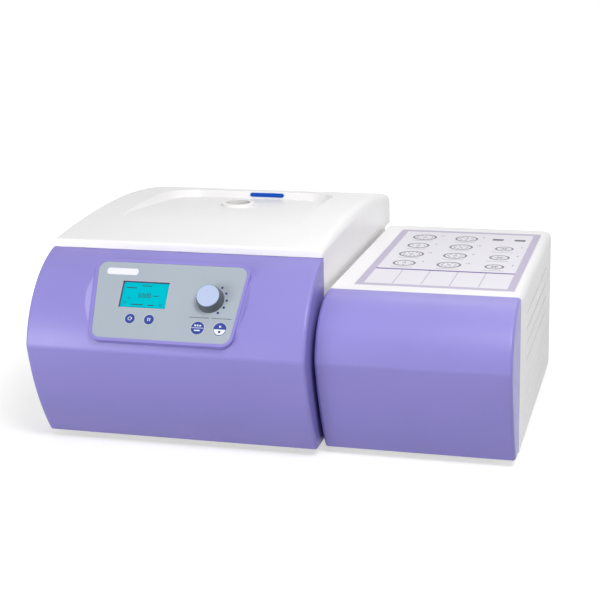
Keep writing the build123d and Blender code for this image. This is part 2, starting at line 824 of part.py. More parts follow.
with BuildPart() as motor_housing:
    rod((main_mid, rotor_y, plate_top), UP, motor_radius, motor_height)
    cavity = motor_height - 2 * motor_end_wall
    rod((main_mid, rotor_y, plate_top + motor_end_wall), UP, stator_radius, cavity, Mode.SUBTRACT)
    rod((main_mid, rotor_y, plate_top), UP, bearing_radius, motor_height, Mode.SUBTRACT)
    fillet(motor_housing.edges().group_by(Axis.Z)[-1].sort_by(SortBy.RADIUS)[-1], motor_edge_radius)
    rod((main_mid, rotor_y, plate_low), UP, motor_plate_radius, motor_plate_sheet)
write_part(motor_housing, "motor_housing")

with BuildPart() as motor_stator:
    stator_low = plate_top + motor_end_wall + stator_inset
    stator_length = motor_height - 2 * (motor_end_wall + stator_inset)
    rod((main_mid, rotor_y, stator_low), UP, stator_radius, stator_length)
    rod((main_mid, rotor_y, stator_low), UP, armature_radius + air_gap, stator_length, Mode.SUBTRACT)
write_part(motor_stator, "motor_stator")

with BuildPart() as motor_bearings:
    for bearing_low in (plate_top, motor_top - motor_end_wall):
        rod((main_mid, rotor_y, bearing_low), UP, bearing_radius, motor_end_wall)
        rod((main_mid, rotor_y, bearing_low), UP, shaft_radius + run_gap, motor_end_wall, Mode.SUBTRACT)
write_part(motor_bearings, "motor_bearings")

rotor_low = bowl_floor + rotor_lift
rotor_top = rotor_low + rotor_height
shaft_top = rotor_top - shaft_top_drop
shaft_foot = plate_top + shaft_foot_gap
with BuildPart() as drive_shaft:
    rod((main_mid, rotor_y, shaft_foot), UP, shaft_radius, shaft_top - shaft_foot)
    rod((main_mid, rotor_y, rotor_low - collar_height), UP, shaft_radius + collar_width, collar_height)
write_part(drive_shaft, "drive_shaft")

with BuildPart() as motor_armature:
    armature_low = (plate_top + motor_top - armature_length) / 2
    rod((main_mid, rotor_y, armature_low), UP, armature_radius, armature_length)
    rod((main_mid, rotor_y, armature_low), UP, shaft_radius, armature_length, Mode.SUBTRACT)
write_part(motor_armature, "motor_armature")

with BuildPart() as shaft_boot:
    boot_low = motor_top
    boot_top = bowl_floor - bowl_sheet
    rod((main_mid, rotor_y, boot_low), UP, bowl_hole_radius + boot_overlap, boot_top - boot_low)
    rod((main_mid, rotor_y, boot_low), UP, boot_bore_radius, boot_top - boot_low, Mode.SUBTRACT)
write_part(shaft_boot, "shaft_boot")

# Fixed-angle rotor with slanted tube pockets
with BuildPart() as rotor:
    with BuildSketch(rotor_section):
        with BuildLine():
            Polyline(
                (shaft_radius, rotor_low),
                (rotor_radius - rotor_foot_inset, rotor_low),
                (rotor_radius, rotor_low + rotor_foot_height),
                (rotor_radius, rotor_top - rotor_cone_height),
                (rotor_cone_radius, rotor_top),
                (rotor_dish_radius, rotor_top),
                (rotor_dish_radius - rotor_dish_slope, rotor_top - rotor_dish_depth),
                (shaft_radius, rotor_top - rotor_dish_depth),
                close=True,
            )
        make_face()
    revolve(axis=rotor_axis)
    for pocket in range(pocket_count):
        angle = radians(360 / pocket_count * pocket)
        outward = sin(radians(pocket_tilt))
        way = Vector(-outward * cos(angle), -outward * sin(angle), cos(radians(pocket_tilt)))
        mouth_x = main_mid + pocket_circle * cos(angle)
        mouth_y = rotor_y + pocket_circle * sin(angle)
        foot = Vector(mouth_x, mouth_y, rotor_top - pocket_top_drop) - way * pocket_depth
        rod(foot, way, pocket_radius, pocket_depth + 2 * pocket_radius, Mode.SUBTRACT)
write_part(rotor, "rotor")

with BuildPart() as rotor_nut:
    nut_low = rotor_top - rotor_dish_depth
    rod((main_mid, rotor_y, nut_low), UP, nut_radius, rotor_dish_depth + nut_rise)
    rod((main_mid, rotor_y, nut_low), UP, shaft_radius, shaft_top - nut_low, Mode.SUBTRACT)
    with Locations((main_mid, rotor_y, rotor_top + nut_rise)):
        with PolarLocations(nut_radius + nut_grip_radius / 2, nut_grips):
            Cylinder(nut_grip_radius, nut_grip_depth, mode=Mode.SUBTRACT)
write_part(rotor_nut, "rotor_nut")


# Lid: a crowned hood over the whole unit, sunk at the back of its top
def crown(y):
    """Height of the lid's top over the front lip, along the machine."""
    run = crown_place - lid_lip_inset
    fall = crown_rise
    if y > crown_place:
        run = lid_reach - crown_place
        fall = crown_rise + lid_back_drop
    return crown_rise - fall * ((y - crown_place) / run) ** 2


def hood_form(inset):
    """The lid's outer form, or its inner form when it has an inset."""
    half = main_width / 2 - inset
    low = skirt_z - (20 if inset else 0)
    start = lid_lip_inset + inset
    step = (lid_reach - inset - start) / (hood_sections - 1)
    with BuildPart() as form:
        for section in range(hood_sections):
            place = start + step * section
            top = lip_z + crown(place) - inset
            growth = sin(min(1, place / crown_place) * pi / 2)
            corner = lid_front_corner + (lid_side_corner - lid_front_corner) * growth - inset
            with BuildSketch(Plane(origin=(main_mid, edge_y + place, 0), x_dir=RIGHT, z_dir=FRONT)):
                with BuildLine():
                    Line((-half + corner, top), (half - corner, top))
                    RadiusArc((half - corner, top), (half, top - corner), corner)
                    Polyline((half, top - corner), (half, low), (-half, low), (-half, top - corner))
                    RadiusArc((-half, top - corner), (-half + corner, top), corner)
                make_face()
        loft()
        back_face = form.faces().sort_by(Axis.Y)[-1]
        back_edges = [e for e in back_face.edges() if e.center().Z > low + 1]
        fillet(back_edges, lid_back_radius - inset)
        if not inset:
            front_face = form.faces().sort_by(Axis.Y)[0]
            front_edges = [e for e in front_face.edges() if e.center().Z > low + 1]
            fillet(front_edges, lip_edge_radius)
    return form.part


# The sunk field: a flat floor that falls towards the back and bends up to the
# lid's top at the front, with steep walls at its sides and back
field_slope = hollow_drop / (hollow_end - hollow_start)
field_low = lip_z + crown(hollow_start) - hollow_drop


def field_height(place):
    """Height of the field's flat floor, behind the cover's top edge."""
    return field_low + (hollow_end - place) * field_slope


def field_form(grow):
    """Space above the sunk field, or the same grown by a wall."""
    side = grow / cos(radians(hollow_draft)) - grow * tan(radians(hollow_draft))
    back = hollow_end + side
    space = field_low + hollow_space
    lead = (edge_y + hollow_lead, lip_z + crown(hollow_lead) + hollow_clear - grow)
    blend = (edge_y + hollow_blend, field_height(hollow_blend) - grow)
    end = (edge_y + lid_reach, field_height(lid_reach) - grow)
    with BuildPart() as form:
        with BuildSketch(Plane.XY.offset(field_low - grow)):
            with Locations((main_mid, edge_y + (back + hollow_front) / 2)):
                breadth = 2 * (hollow_half_width + side)
                RectangleRounded(breadth, back - hollow_front, hollow_corner + side)
        extrude(amount=hollow_space, taper=-hollow_draft)
        with BuildSketch(Plane.YZ.offset(main_left)):
            with BuildLine():
                TangentArc(blend, lead, tangent=(-1, field_slope))
                Polyline(lead, (lead[0], space), (end[0], space), end, blend)
            make_face()
        extrude(amount=main_width, mode=Mode.INTERSECT)
    return form.part


port_z = field_height(rotor_y - edge_y)
liner_low = deck_top + gasket_height + fit_gap
liner_top = liner_low + liner_sheet
inner_hood = hood_form(hood_wall) - field_form(hood_wall)
with BuildPart() as lid_hood:
    add(hood_form(0))
    add(field_form(0), mode=Mode.SUBTRACT)
    add(inner_hood, mode=Mode.SUBTRACT)
    notch_y = (edge_y - seam, body_y + seam)
    slab((main_left, main_right), notch_y, (skirt_z, cover_top + lip_seam), Mode.SUBTRACT)
    hole_height = port_z + port_flange_height - liner_top
    rod((main_mid, rotor_y, liner_top), UP, port_sleeve_radius + joint_gap, hole_height, Mode.SUBTRACT)
write_part(lid_hood, "lid_hood")

with BuildPart() as lid_liner:
    liner_x = (main_left + hood_wall, main_right - hood_wall)
    slab(liner_x, (edge_y + liner_front, edge_y + liner_back), (liner_low, liner_top))
    add(inner_hood, mode=Mode.INTERSECT)
    rod((main_mid, rotor_y, liner_low), UP, port_sleeve_radius + joint_gap, liner_sheet, Mode.SUBTRACT)
write_part(lid_liner, "lid_liner")

with BuildPart() as lid_gasket:
    gasket_low = liner_low - gasket_height + bowl_sheet
    ring = bowl_radius + gasket_width
    rod((main_mid, rotor_y, gasket_low), UP, ring, liner_low - gasket_low)
    rod((main_mid, rotor_y, gasket_low), UP, ring - gasket_width, liner_low - gasket_low, Mode.SUBTRACT)
write_part(lid_gasket, "lid_gasket")

port_top = port_z + port_flange_height
with BuildPart() as window_ring:
    rod((main_mid, rotor_y, port_z - port_flange_height), UP, port_flange_radius, 2 * port_flange_height)
    fillet(window_ring.edges().group_by(Axis.Z)[-1], port_edge_radius)
    add(field_form(0), mode=Mode.INTERSECT)
    rod((main_mid, rotor_y, liner_low), UP, port_sleeve_radius, port_top - port_edge_radius - liner_low)
    rod((main_mid, rotor_y, liner_low), UP, port_radius, port_top - liner_low, Mode.SUBTRACT)
write_part(window_ring, "window_ring")

with BuildPart() as sight_glass:
    rod((main_mid, rotor_y, port_top - glass_depth - glass_sheet), UP, port_radius, glass_sheet)
write_part(sight_glass, "sight_glass")

bar_origin = (
    main_mid + bar_shift,
    edge_y + hollow_end + bar_lift * tan(radians(hollow_draft)),
    field_low + bar_lift,
)
with BuildPart() as accent_bar:
    bar_normal = (0, -cos(radians(hollow_draft)), sin(radians(hollow_draft)))
    with BuildSketch(Plane(origin=bar_origin, x_dir=RIGHT, z_dir=bar_normal)):
        SlotOverall(bar_length, bar_height)
    extrude(amount=bar_sheet)
write_part(accent_bar, "accent_bar")

striker_low = liner_low - striker_reach
bolt_z = liner_low - bolt_drop
with BuildPart() as lid_striker:
    striker_x = (main_mid - striker_width / 2, main_mid + striker_width / 2)
    striker_span = (striker_y - striker_sheet / 2, striker_y + striker_sheet / 2)
    slab(striker_x, striker_span, (striker_low, liner_low))
    fillet(lid_striker.edges().filter_by(Axis.Y).group_by(Axis.Z)[0], striker_corner)
    hole_y = striker_y - striker_sheet
    rod((main_mid, hole_y, bolt_z), BACK, bolt_radius + bolt_room, 2 * striker_sheet, Mode.SUBTRACT)
write_part(lid_striker, "lid_striker")

with BuildPart() as latch_solenoid:
    half = solenoid_side / 2
    solenoid_y = striker_y + striker_sheet / 2 + solenoid_gap
    solenoid_span = (solenoid_y, solenoid_y + solenoid_length)
    slab((main_mid - half, main_mid + half), solenoid_span, (bolt_z - half, bolt_z + half))
    bore = solenoid_length - solenoid_floor
    rod((main_mid, solenoid_y, bolt_z), BACK, bolt_radius + run_gap, bore, Mode.SUBTRACT)
    ear = (main_mid - half - solenoid_ear, main_mid + half + solenoid_ear)
    slab(ear, solenoid_span, (bolt_z + half, deck_top - deck_sheet))
write_part(latch_solenoid, "latch_solenoid")

with BuildPart() as latch_bolt:
    rod((main_mid, solenoid_y - bolt_rest, bolt_z), BACK, bolt_radius, bolt_length)
write_part(latch_bolt, "latch_bolt")

# Hinges
liner_end = edge_y + liner_back
arm_reach = liner_end - arm_overlap
with BuildPart() as hinge_arms:
    for side in (-1, 1):
        arm_x = main_mid + side * hinge_spread - arm_sheet / 2
        with BuildSketch(Plane.YZ.offset(arm_x)):
            with Locations((hinge_y, hinge_z)):
                Circle(hinge_boss_radius)
            with BuildLine():
                Polyline(
                    (hinge_y - arm_width / 2, hinge_z),
                    (hinge_y - arm_width / 2, liner_low - arm_drop),
                    (arm_reach, liner_top),
                    (arm_reach, liner_top + arm_rise),
                    (hinge_y - arm_width / 2, liner_top + arm_rise),
                    (hinge_y + arm_width / 2, liner_top - arm_drop),
                    (hinge_y + arm_width / 2, hinge_z),
                    close=True,
                )
            make_face()
        extrude(amount=arm_sheet)
    arm_span = (main_mid - hinge_spread - arm_sheet, main_mid + hinge_spread + arm_sheet)
    slab(arm_span, (arm_reach, liner_end), (liner_low, liner_top), Mode.SUBTRACT)
    rod((main_left, hinge_y, hinge_z), RIGHT, hinge_pin_radius + run_gap, main_width, Mode.SUBTRACT)
write_part(hinge_arms, "hinge_arms")

with BuildPart() as hinge_brackets:
    ear_start = arm_sheet / 2 + fit_gap
    for side in (-1, 1):
        arm_x = main_mid + side * hinge_spread
        for ear_x in (arm_x - ear_start - ear_sheet, arm_x + ear_start):
            with BuildSketch(Plane.YZ.offset(ear_x)):
                with Locations((hinge_y, hinge_z)):
                    Circle(ear_radius)
                with BuildLine():
                    Polyline(
                        (rear_y, hinge_z - bracket_drop),
                        (hinge_y, hinge_z - ear_radius),
                        (hinge_y, hinge_z + ear_radius),
                        (rear_y, hinge_z + bracket_rise),
                        close=True,
                    )
                make_face()
            extrude(amount=ear_sheet)
        half = ear_start + ear_sheet + bracket_wing
        bracket_z = (hinge_z - bracket_drop, hinge_z + bracket_rise)
        slab((arm_x - half, arm_x + half), (rear_y, rear_y + bracket_sheet), bracket_z)
    rod((main_left, hinge_y, hinge_z), RIGHT, hinge_pin_radius, main_width, Mode.SUBTRACT)
write_part(hinge_brackets, "hinge_brackets")

with BuildPart() as hinge_pins:
    for side in (-1, 1):
        pin_half = ear_start + ear_sheet
        pin_start = main_mid + side * hinge_spread - pin_half
        rod((pin_start, hinge_y, hinge_z), RIGHT, hinge_pin_radius, 2 * pin_half)
write_part(hinge_pins, "hinge_pins")

# Control board on the base
power_left = main_left + power_board_inset
power_front = body_y + power_board_front
power_low = pan_top + standoff_height
power_top = power_low + board_sheet
with BuildPart() as control_board:
    across = (power_left, power_left + power_board_length)
    slab(across, (power_front, power_front + power_board_depth), (power_low, power_top))
    for post_x in (across[0] + standoff_inset, across[1] - standoff_inset):
        for post_y in (standoff_inset, power_board_depth - standoff_inset):
            rod((post_x, power_front + post_y, pan_top), UP, standoff_radius, standoff_height)
    for (low_x, high_x), (low_y, high_y), height in board_blocks:
        block_x = (power_left + low_x, power_left + high_x)
        block_y = (power_front + low_y, power_front + high_y)
        slab(block_x, block_y, (power_top, power_top + height))
    for cap_x in capacitor_places:
        cap_place = (power_left + cap_x, power_front + capacitor_y, power_top)
        rod(cap_place, UP, capacitor_radius, capacitor_height)
write_part(control_board, "control_board")

# Mains inlet and power switch on the back
with BuildPart() as power_inlet:
    with BuildSketch(Plane.XZ.offset(-(rear_y - inlet_depth))):
        with Locations((inlet_x, inlet_z)):
            Rectangle(inlet_width - 2 * joint_gap, inlet_height - 2 * joint_gap)
    extrude(amount=-inlet_depth)
    with BuildSketch(Plane.XZ.offset(-rear_y)):
        with Locations((inlet_x, inlet_z)):
            RectangleRounded(inlet_width + 2 * inlet_flange, inlet_height + 2 * inlet_flange, 3)
    extrude(amount=-flange_sheet)
    with BuildSketch(Plane.XZ.offset(-(rear_y - inlet_depth + socket_wall))):
        with Locations((inlet_x, inlet_z)):
            RectangleRounded(inlet_width - 2 * socket_wall, inlet_height - 2 * socket_wall, 2)
    extrude(amount=-inlet_depth - flange_sheet, mode=Mode.SUBTRACT)
    pin_y = (rear_y - inlet_depth + socket_wall, rear_y - 4)
    for pin_x, pin_z in contact_places:
        pin_across = (inlet_x + pin_x - contact_width / 2, inlet_x + pin_x + contact_width / 2)
        pin_upright = (inlet_z + pin_z - contact_height / 2, inlet_z + pin_z + contact_height / 2)
        slab(pin_across, pin_y, pin_upright)
write_part(power_inlet, "power_inlet")

rocker_y = rear_y - rocker_pivot_depth
with BuildPart() as switch_bezel:
    with BuildSketch(Plane.XZ.offset(-(rear_y - bezel_depth))):
        with Locations((switch_x, inlet_z)):
            Rectangle(switch_width - 2 * joint_gap, switch_height - 2 * joint_gap)
    extrude(amount=-bezel_depth)
    with BuildSketch(Plane.XZ.offset(-rear_y)):
        with Locations((switch_x, inlet_z)):
            RectangleRounded(switch_width + 2 * flange_sheet, switch_height + 2 * flange_sheet, flange_sheet)
    extrude(amount=-flange_sheet)
    with BuildSketch(Plane.XZ.offset(-(rear_y - bezel_depth + bezel_wall))):
        with Locations((switch_x, inlet_z)):
            Rectangle(rocker_width + 2 * fit_gap, 2 * rocker_half + 2)
    extrude(amount=-bezel_depth - flange_sheet, mode=Mode.SUBTRACT)
    pin_start = switch_x - rocker_width / 2 - rocker_pin_reach
    pin_span = rocker_width + 2 * rocker_pin_reach
    rod((pin_start, rocker_y, inlet_z), RIGHT, rocker_pin_radius + run_gap, pin_span, Mode.SUBTRACT)
write_part(switch_bezel, "switch_bezel")

with BuildPart() as switch_rocker:
    tilted = Plane(origin=(switch_x, rocker_y, inlet_z), x_dir=RIGHT, z_dir=UP).rotated((-rocker_tilt, 0, 0))
    with Locations(tilted):
        with Locations((0, -1, 0)):
            Box(rocker_width, rocker_depth, 2 * rocker_half)
    rod((pin_start + joint_gap, rocker_y, inlet_z), RIGHT, rocker_pin_radius, pin_span - 2 * joint_gap)
write_part(switch_rocker, "switch_rocker")

# Cabinet of the cooling unit: top and both sides folded from one sheet
vent_middle = edge_y + louvre_front + louvre_length / 2
with BuildPart() as side_cabinet:
    slab((side_left, side_right), (side_body_y, rear_y), (pan_top, side_top))
    outer_fold = side_cabinet.edges().filter_by(Axis.Y).group_by(Axis.Z)[-1].sort_by(Axis.X)[-1]
    fillet(outer_fold, side_edge_radius)
    seam_fold = side_cabinet.edges().filter_by(Axis.Y).group_by(Axis.Z)[-1].sort_by(Axis.X)[0]
    fillet(seam_fold, side_seam_radius)
    inside = (side_left + panel_sheet, side_right - panel_sheet)
    with BuildSketch(Plane.XZ.offset(-side_body_y)):
        with BuildLine():
            bend = side_edge_radius - panel_sheet
            seam_bend = side_seam_radius - panel_sheet
            top_z = side_top - panel_sheet
            seam_z = top_z - seam_bend
            Polyline((inside[0] + seam_bend, top_z), (inside[1] - bend, top_z))
            RadiusArc((inside[1] - bend, top_z), (inside[1], top_z - bend), bend)
            Polyline((inside[1], top_z - bend), (inside[1], 0), (inside[0], 0), (inside[0], seam_z))
            RadiusArc((inside[0], seam_z), (inside[0] + seam_bend, top_z), seam_bend)
        make_face()
    extrude(amount=-(rear_y - side_body_y), mode=Mode.SUBTRACT)
    with BuildSketch(Plane.YZ.offset(side_right - panel_sheet)):
        with Locations((vent_middle, side_top - louvre_drop)):
            with GridLocations(0, louvre_pitch, 1, louvre_rows):
                SlotOverall(louvre_length, louvre_slot)
        with Locations((vent_middle, base_z + vent_height)):
            with GridLocations(vent_pitch, vent_row_pitch, vent_columns, vent_rows):
                SlotOverall(vent_length, louvre_slot, rotation=90)
    extrude(amount=panel_sheet, mode=Mode.SUBTRACT)
    for pipe_y, pipe_z in pipe_crossings:
        rod((side_left, pipe_y, pipe_z), RIGHT, crossing_radius, panel_sheet, Mode.SUBTRACT)
write_part(side_cabinet, "side_cabinet")

with BuildPart() as side_rear_panel:
    slab(inside, (rear_y - panel_sheet, rear_y), (pan_top, side_top - side_edge_radius))
    with BuildSketch(Plane.XZ.offset(-rear_y)):
        with Locations((side_mid, (base_z + side_top) / 2)):
            with GridLocations(0, grille_pitch, 1, grille_rows):
                SlotOverall(grille_length, grille_slot)
    extrude(amount=panel_sheet, mode=Mode.SUBTRACT)
write_part(side_rear_panel, "side_rear_panel")

with BuildPart() as chart_label:
    with BuildSketch(Plane.XY.offset(side_top)):
        label_x = (side_left + label_left_margin, side_right - label_right_margin)
        label_y = (edge_y + label_front_margin, rear_y - label_back_margin)
        with Locations(((label_x[0] + label_x[1]) / 2, (label_y[0] + label_y[1]) / 2)):
            RectangleRounded(label_x[1] - label_x[0], label_y[1] - label_y[0], label_corner)
    extrude(amount=label_sheet)
write_part(chart_label, "chart_label")

# Compressor on rubber mounts
compressor_x = side_left + compressor_side
compressor_y = rear_y - compressor_back
compressor_low = pan_top + compressor_mount_height
with BuildPart() as compressor:
    shell_low = compressor_low + compressor_foot_sheet
    rod((compressor_x, compressor_y, shell_low), UP, compressor_radius, compressor_height)
    rims = compressor.edges().filter_by(GeomType.CIRCLE)
    fillet(rims, compressor_dome)
    foot_x = (compressor_x - compressor_foot_length / 2, compressor_x + compressor_foot_length / 2)
    foot_y = (compressor_y - compressor_foot_width / 2, compressor_y + compressor_foot_width / 2)
    slab(foot_x, foot_y, (compressor_low, shell_low))
write_part(compressor, "compressor")

with BuildPart() as compressor_mounts:
    with Locations((compressor_x, compressor_y, (pan_top + compressor_low) / 2)):
        mount_x = compressor_foot_length - 2 * mount_inset
        mount_y = compressor_foot_width - 2 * mount_inset
        with GridLocations(mount_x, mount_y, 2, 2):
            Cylinder(mount_radius, compressor_mount_height)
write_part(compressor_mounts, "compressor_mounts")

# Condenser: finned block with a serpentine tube
condenser_right = side_right - panel_sheet - condenser_inset
condenser_left = condenser_right - condenser_depth
condenser_x = (condenser_left + condenser_right) / 2
condenser_y = (side_body_y + condenser_front, side_body_y + condenser_front + condenser_length)
condenser_z = (pan_top, pan_top + condenser_height)
fan_y = sum(condenser_y) / 2
fan_z = sum(condenser_z) / 2
run_heights = [pan_top + condenser_first_run + condenser_run_pitch * n for n in range(condenser_runs)]
fin_groove = condenser_depth / 2 - line_radius - fin_web
with BuildPart() as condenser_fins:
    slab((condenser_left, condenser_right), condenser_y, condenser_z)
    groove_count = int(condenser_length / fin_pitch) - 1
    groove_height = condenser_height - 2 * fin_frame
    for groove_x in (condenser_left + fin_groove / 2, condenser_right - fin_groove / 2):
        with Locations((groove_x, fan_y, fan_z)):
            with GridLocations(0, fin_pitch, 1, groove_count):
                Box(fin_groove, fin_pitch - fin_sheet, groove_height, mode=Mode.SUBTRACT)
    for height in run_heights:
        rod((condenser_x, condenser_y[0], height), BACK, line_radius, condenser_length, Mode.SUBTRACT)
write_part(condenser_fins, "condenser_fins")

with BuildPart() as condenser_tube:
    turn = condenser_run_pitch / 2
    front_end = condenser_y[0] - tube_overhang
    back_end = condenser_y[1] + tube_overhang
    outlet_y = condenser_y[1] + tube_stub
    with BuildLine(Plane.YZ.offset(condenser_x)) as serpentine:
        for run, height in enumerate(run_heights):
            run_back = outlet_y if run in (0, condenser_runs - 1) else back_end
            to_front = run % 2 == 0
            places = (run_back, front_end) if to_front else (front_end, run_back)
            Line((places[0], height), (places[1], height))
            if run < condenser_runs - 1:
                bulge = (front_end - turn, height + turn) if to_front else (back_end + turn, height + turn)
                ThreePointArc((places[1], height), bulge, (places[1], height + condenser_run_pitch))
    with BuildSketch(Plane(origin=serpentine.line @ 0, z_dir=serpentine.line % 0)):
        Circle(line_radius)
        Circle(line_radius - line_wall, mode=Mode.SUBTRACT)
    sweep()
write_part(condenser_tube, "condenser_tube")

# Fan and its shroud
shroud_x = condenser_left - shroud_depth
with BuildPart() as fan_shroud:
    slab((shroud_x, condenser_left), condenser_y, condenser_z)
    room_y = (condenser_y[0] + panel_sheet, condenser_y[1] - panel_sheet)
    room_z = (condenser_z[0] + panel_sheet, condenser_z[1] - panel_sheet)
    slab((shroud_x + panel_sheet, condenser_left), room_y, room_z, Mode.SUBTRACT)
    rod((shroud_x, fan_y, fan_z), RIGHT, fan_radius + fan_room, panel_sheet, Mode.SUBTRACT)
write_part(fan_shroud, "fan_shroud")

motor_x = shroud_x - fan_arm_sheet
with BuildPart() as fan_motor:
    motor_length = fan_motor_length + fan_arm_sheet
    rod((motor_x - fan_motor_length, fan_y, fan_z), RIGHT, fan_motor_radius, motor_length)
    half_arm = fan_arm_width / 2
    arm_half = fan_radius + fan_room + fan_arm_seat
    slab((motor_x, shroud_x), (fan_y - arm_half, fan_y + arm_half), (fan_z - half_arm, fan_z + half_arm))
    slab((motor_x, shroud_x), (fan_y - half_arm, fan_y + half_arm), (fan_z - arm_half, fan_z + arm_half))
    bore_x = motor_x - fan_motor_length + fan_motor_floor
    rod((bore_x, fan_y, fan_z), RIGHT, fan_shaft_radius + run_gap, motor_length, Mode.SUBTRACT)
write_part(fan_motor, "fan_motor")

hub_x = shroud_x + fan_hub_gap
with BuildPart() as fan_blades:
    rod((hub_x, fan_y, fan_z), RIGHT, fan_hub_radius, fan_hub_length)
    rod((bore_x + fit_gap, fan_y, fan_z), RIGHT, fan_shaft_radius, hub_x - bore_x - fit_gap)
    blade_reach = fan_radius - fan_hub_radius + blade_root
    hub_middle = Vector(hub_x + fan_hub_length / 2, fan_y, fan_z)
    for blade in range(fan_blade_count):
        angle = radians(360 / fan_blade_count * blade)
        way = Vector(0, cos(angle), sin(angle))
        across = way.cross(Vector(1, 0, 0))
        flat = Vector(cos(radians(blade_pitch)), 0, 0) + across * sin(radians(blade_pitch))
        middle = hub_middle + way * (fan_radius - blade_reach / 2)
        with Locations(Plane(origin=middle, x_dir=flat, z_dir=way)):
            Box(blade_sheet, blade_chord, blade_reach)
write_part(fan_blades, "fan_blades")


# Refrigerant pipes between compressor, condenser and evaporator
def pipe(points, radius, bend):
    """Pipe along straight runs with rounded corners."""
    with BuildPart() as tube:
        with BuildLine() as route:
            FilletPolyline(*points, radius=bend)
        with BuildSketch(Plane(origin=route.line @ 0, z_dir=route.line % 0)):
            Circle(radius)
        sweep()
    return tube.part


drier_x = side_left + drier_place
suction_y, suction_z = pipe_crossings[0]
capillary_y, capillary_z = pipe_crossings[1]
liquid_y = rear_y - liquid_inset
drier_top = capillary_z - drier_drop
drier_low = drier_top - drier_length
port_height = compressor_low + compressor_port
port_reach = compressor_radius + fit_gap / 2
first_run = run_heights[0]
last_run = run_heights[-1]
suction_route = [
    (pipe_x, rotor_y, coil_low),
    (pipe_x, suction_y, coil_low),
    (compressor_x, suction_y, suction_z),
    (compressor_x, suction_y, port_height),
    (compressor_x, compressor_y - port_reach, port_height),
]
discharge_route = [
    (compressor_x + port_reach, compressor_y, port_height),
    (condenser_x, compressor_y, port_height),
    (condenser_x, compressor_y, last_run),
    (condenser_x, outlet_y, last_run),
]
liquid_route = [
    (condenser_x, outlet_y, first_run),
    (condenser_x, liquid_y, first_run),
    (drier_x, liquid_y, first_run),
    (drier_x, capillary_y, first_run),
    (drier_x, capillary_y, drier_low),
]
capillary_route = [
    (pipe_x, rotor_y, coil_high),
    (pipe_x, capillary_y, coil_high),
    (pipe_x, capillary_y, capillary_z),
    (drier_x, capillary_y, capillary_z),
    (drier_x, capillary_y, drier_top),
]
with BuildPart() as refrigerant_pipes:
    add(pipe(suction_route, line_radius, line_bend))
    add(pipe(discharge_route, line_radius, line_bend))
    add(pipe(liquid_route, liquid_radius, small_bend))
    add(pipe(capillary_route, capillary_radius, small_bend))
write_part(refrigerant_pipes, "refrigerant_pipes")

with BuildPart() as filter_drier:
    rod((drier_x, capillary_y, drier_low), UP, drier_radius, drier_length)
    fillet(filter_drier.edges().filter_by(GeomType.CIRCLE), drier_edge_radius)
write_part(filter_drier, "filter_drier")
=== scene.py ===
# %% [markdown]
# # Refrigerated bench centrifuge
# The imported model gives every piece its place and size. This notebook gives each piece its finish,
# adds the small printed and fastened details, and lights the machine for a picture.
# Lengths are in metres, X runs to the right, Y to the back and Z up, with the origin on the bench.

import json
from math import cos, pi, radians, sin

import bpy
from mathutils import Matrix, Vector


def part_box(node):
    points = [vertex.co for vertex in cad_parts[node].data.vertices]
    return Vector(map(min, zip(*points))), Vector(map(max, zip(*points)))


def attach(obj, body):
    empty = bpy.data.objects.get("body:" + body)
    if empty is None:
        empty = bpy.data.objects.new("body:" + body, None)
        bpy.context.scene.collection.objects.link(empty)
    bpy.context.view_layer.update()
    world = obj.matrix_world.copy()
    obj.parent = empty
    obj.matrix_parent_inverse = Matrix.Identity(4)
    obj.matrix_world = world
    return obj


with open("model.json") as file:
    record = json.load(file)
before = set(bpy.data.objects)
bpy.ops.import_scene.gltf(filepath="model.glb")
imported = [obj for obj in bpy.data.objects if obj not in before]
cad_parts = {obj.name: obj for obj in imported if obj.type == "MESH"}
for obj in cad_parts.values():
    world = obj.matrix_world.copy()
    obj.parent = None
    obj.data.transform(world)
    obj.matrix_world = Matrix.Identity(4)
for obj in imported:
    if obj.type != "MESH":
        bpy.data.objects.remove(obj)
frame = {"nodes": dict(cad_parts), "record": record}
nodes = frame["nodes"]
bpy.ops.object.select_all(action="DESELECT")
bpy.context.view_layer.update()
print("pieces in the frame:", len(nodes))

# %% [markdown]
# ## Camera
# The picture was taken from the front right with a long lens, a little above the lid. The camera is
# turned to the left and down, rolled by about a degree, and its lens is shifted so that the machine
# sits where it does in the picture. A short lens close by could show the same faces, but it would
# spread the near edges apart; a long lens from further away keeps them almost parallel, as here.

# %% Place the camera
camera_place = Vector((0.57693, -2.22566, 0.78824))
camera_turn = radians(15.52)
camera_dip = radians(12.53)
camera_roll = -0.019
lens_length = 89.19
lens_shift = (0.0262, -0.1048)
bpy.ops.object.camera_add(location=camera_place)
camera = bpy.context.object
camera.name = "picture_camera"
aim = Matrix.Rotation(camera_turn, 4, "Z") @ Matrix.Rotation(pi / 2 - camera_dip, 4, "X")
camera.matrix_world = Matrix.Translation(camera_place) @ aim @ Matrix.Rotation(camera_roll, 4, "Z")
camera.data.sensor_width = 36
camera.data.lens = lens_length
camera.data.shift_x, camera.data.shift_y = lens_shift
camera.data.dof.use_dof = False
camera.data.clip_end = 50
bpy.context.scene.camera = camera
bpy.context.scene.view_settings.view_transform = "Standard"
print("camera's distance from the origin:", round(camera_place.length, 2))

# %% [markdown]
# ## Floor and world
# A product picture has a white ground and soft light. A bright floor would give that, but it would
# also throw a glare up on the machine. So the floor is a plain pale surface for the light itself, and
# glows only for the camera, for reflections and through glass. The glow is weak near the machine,
# where its soft shadow has to show, and grows to full white further out.

# %% A pale floor
floor_middle = Vector((0, 2, 0))
bpy.ops.mesh.primitive_plane_add(size=14, location=floor_middle)
floor = bpy.context.object
floor.name = "studio_floor"
print("floor, side to side:", round(floor.dimensions.x, 1))


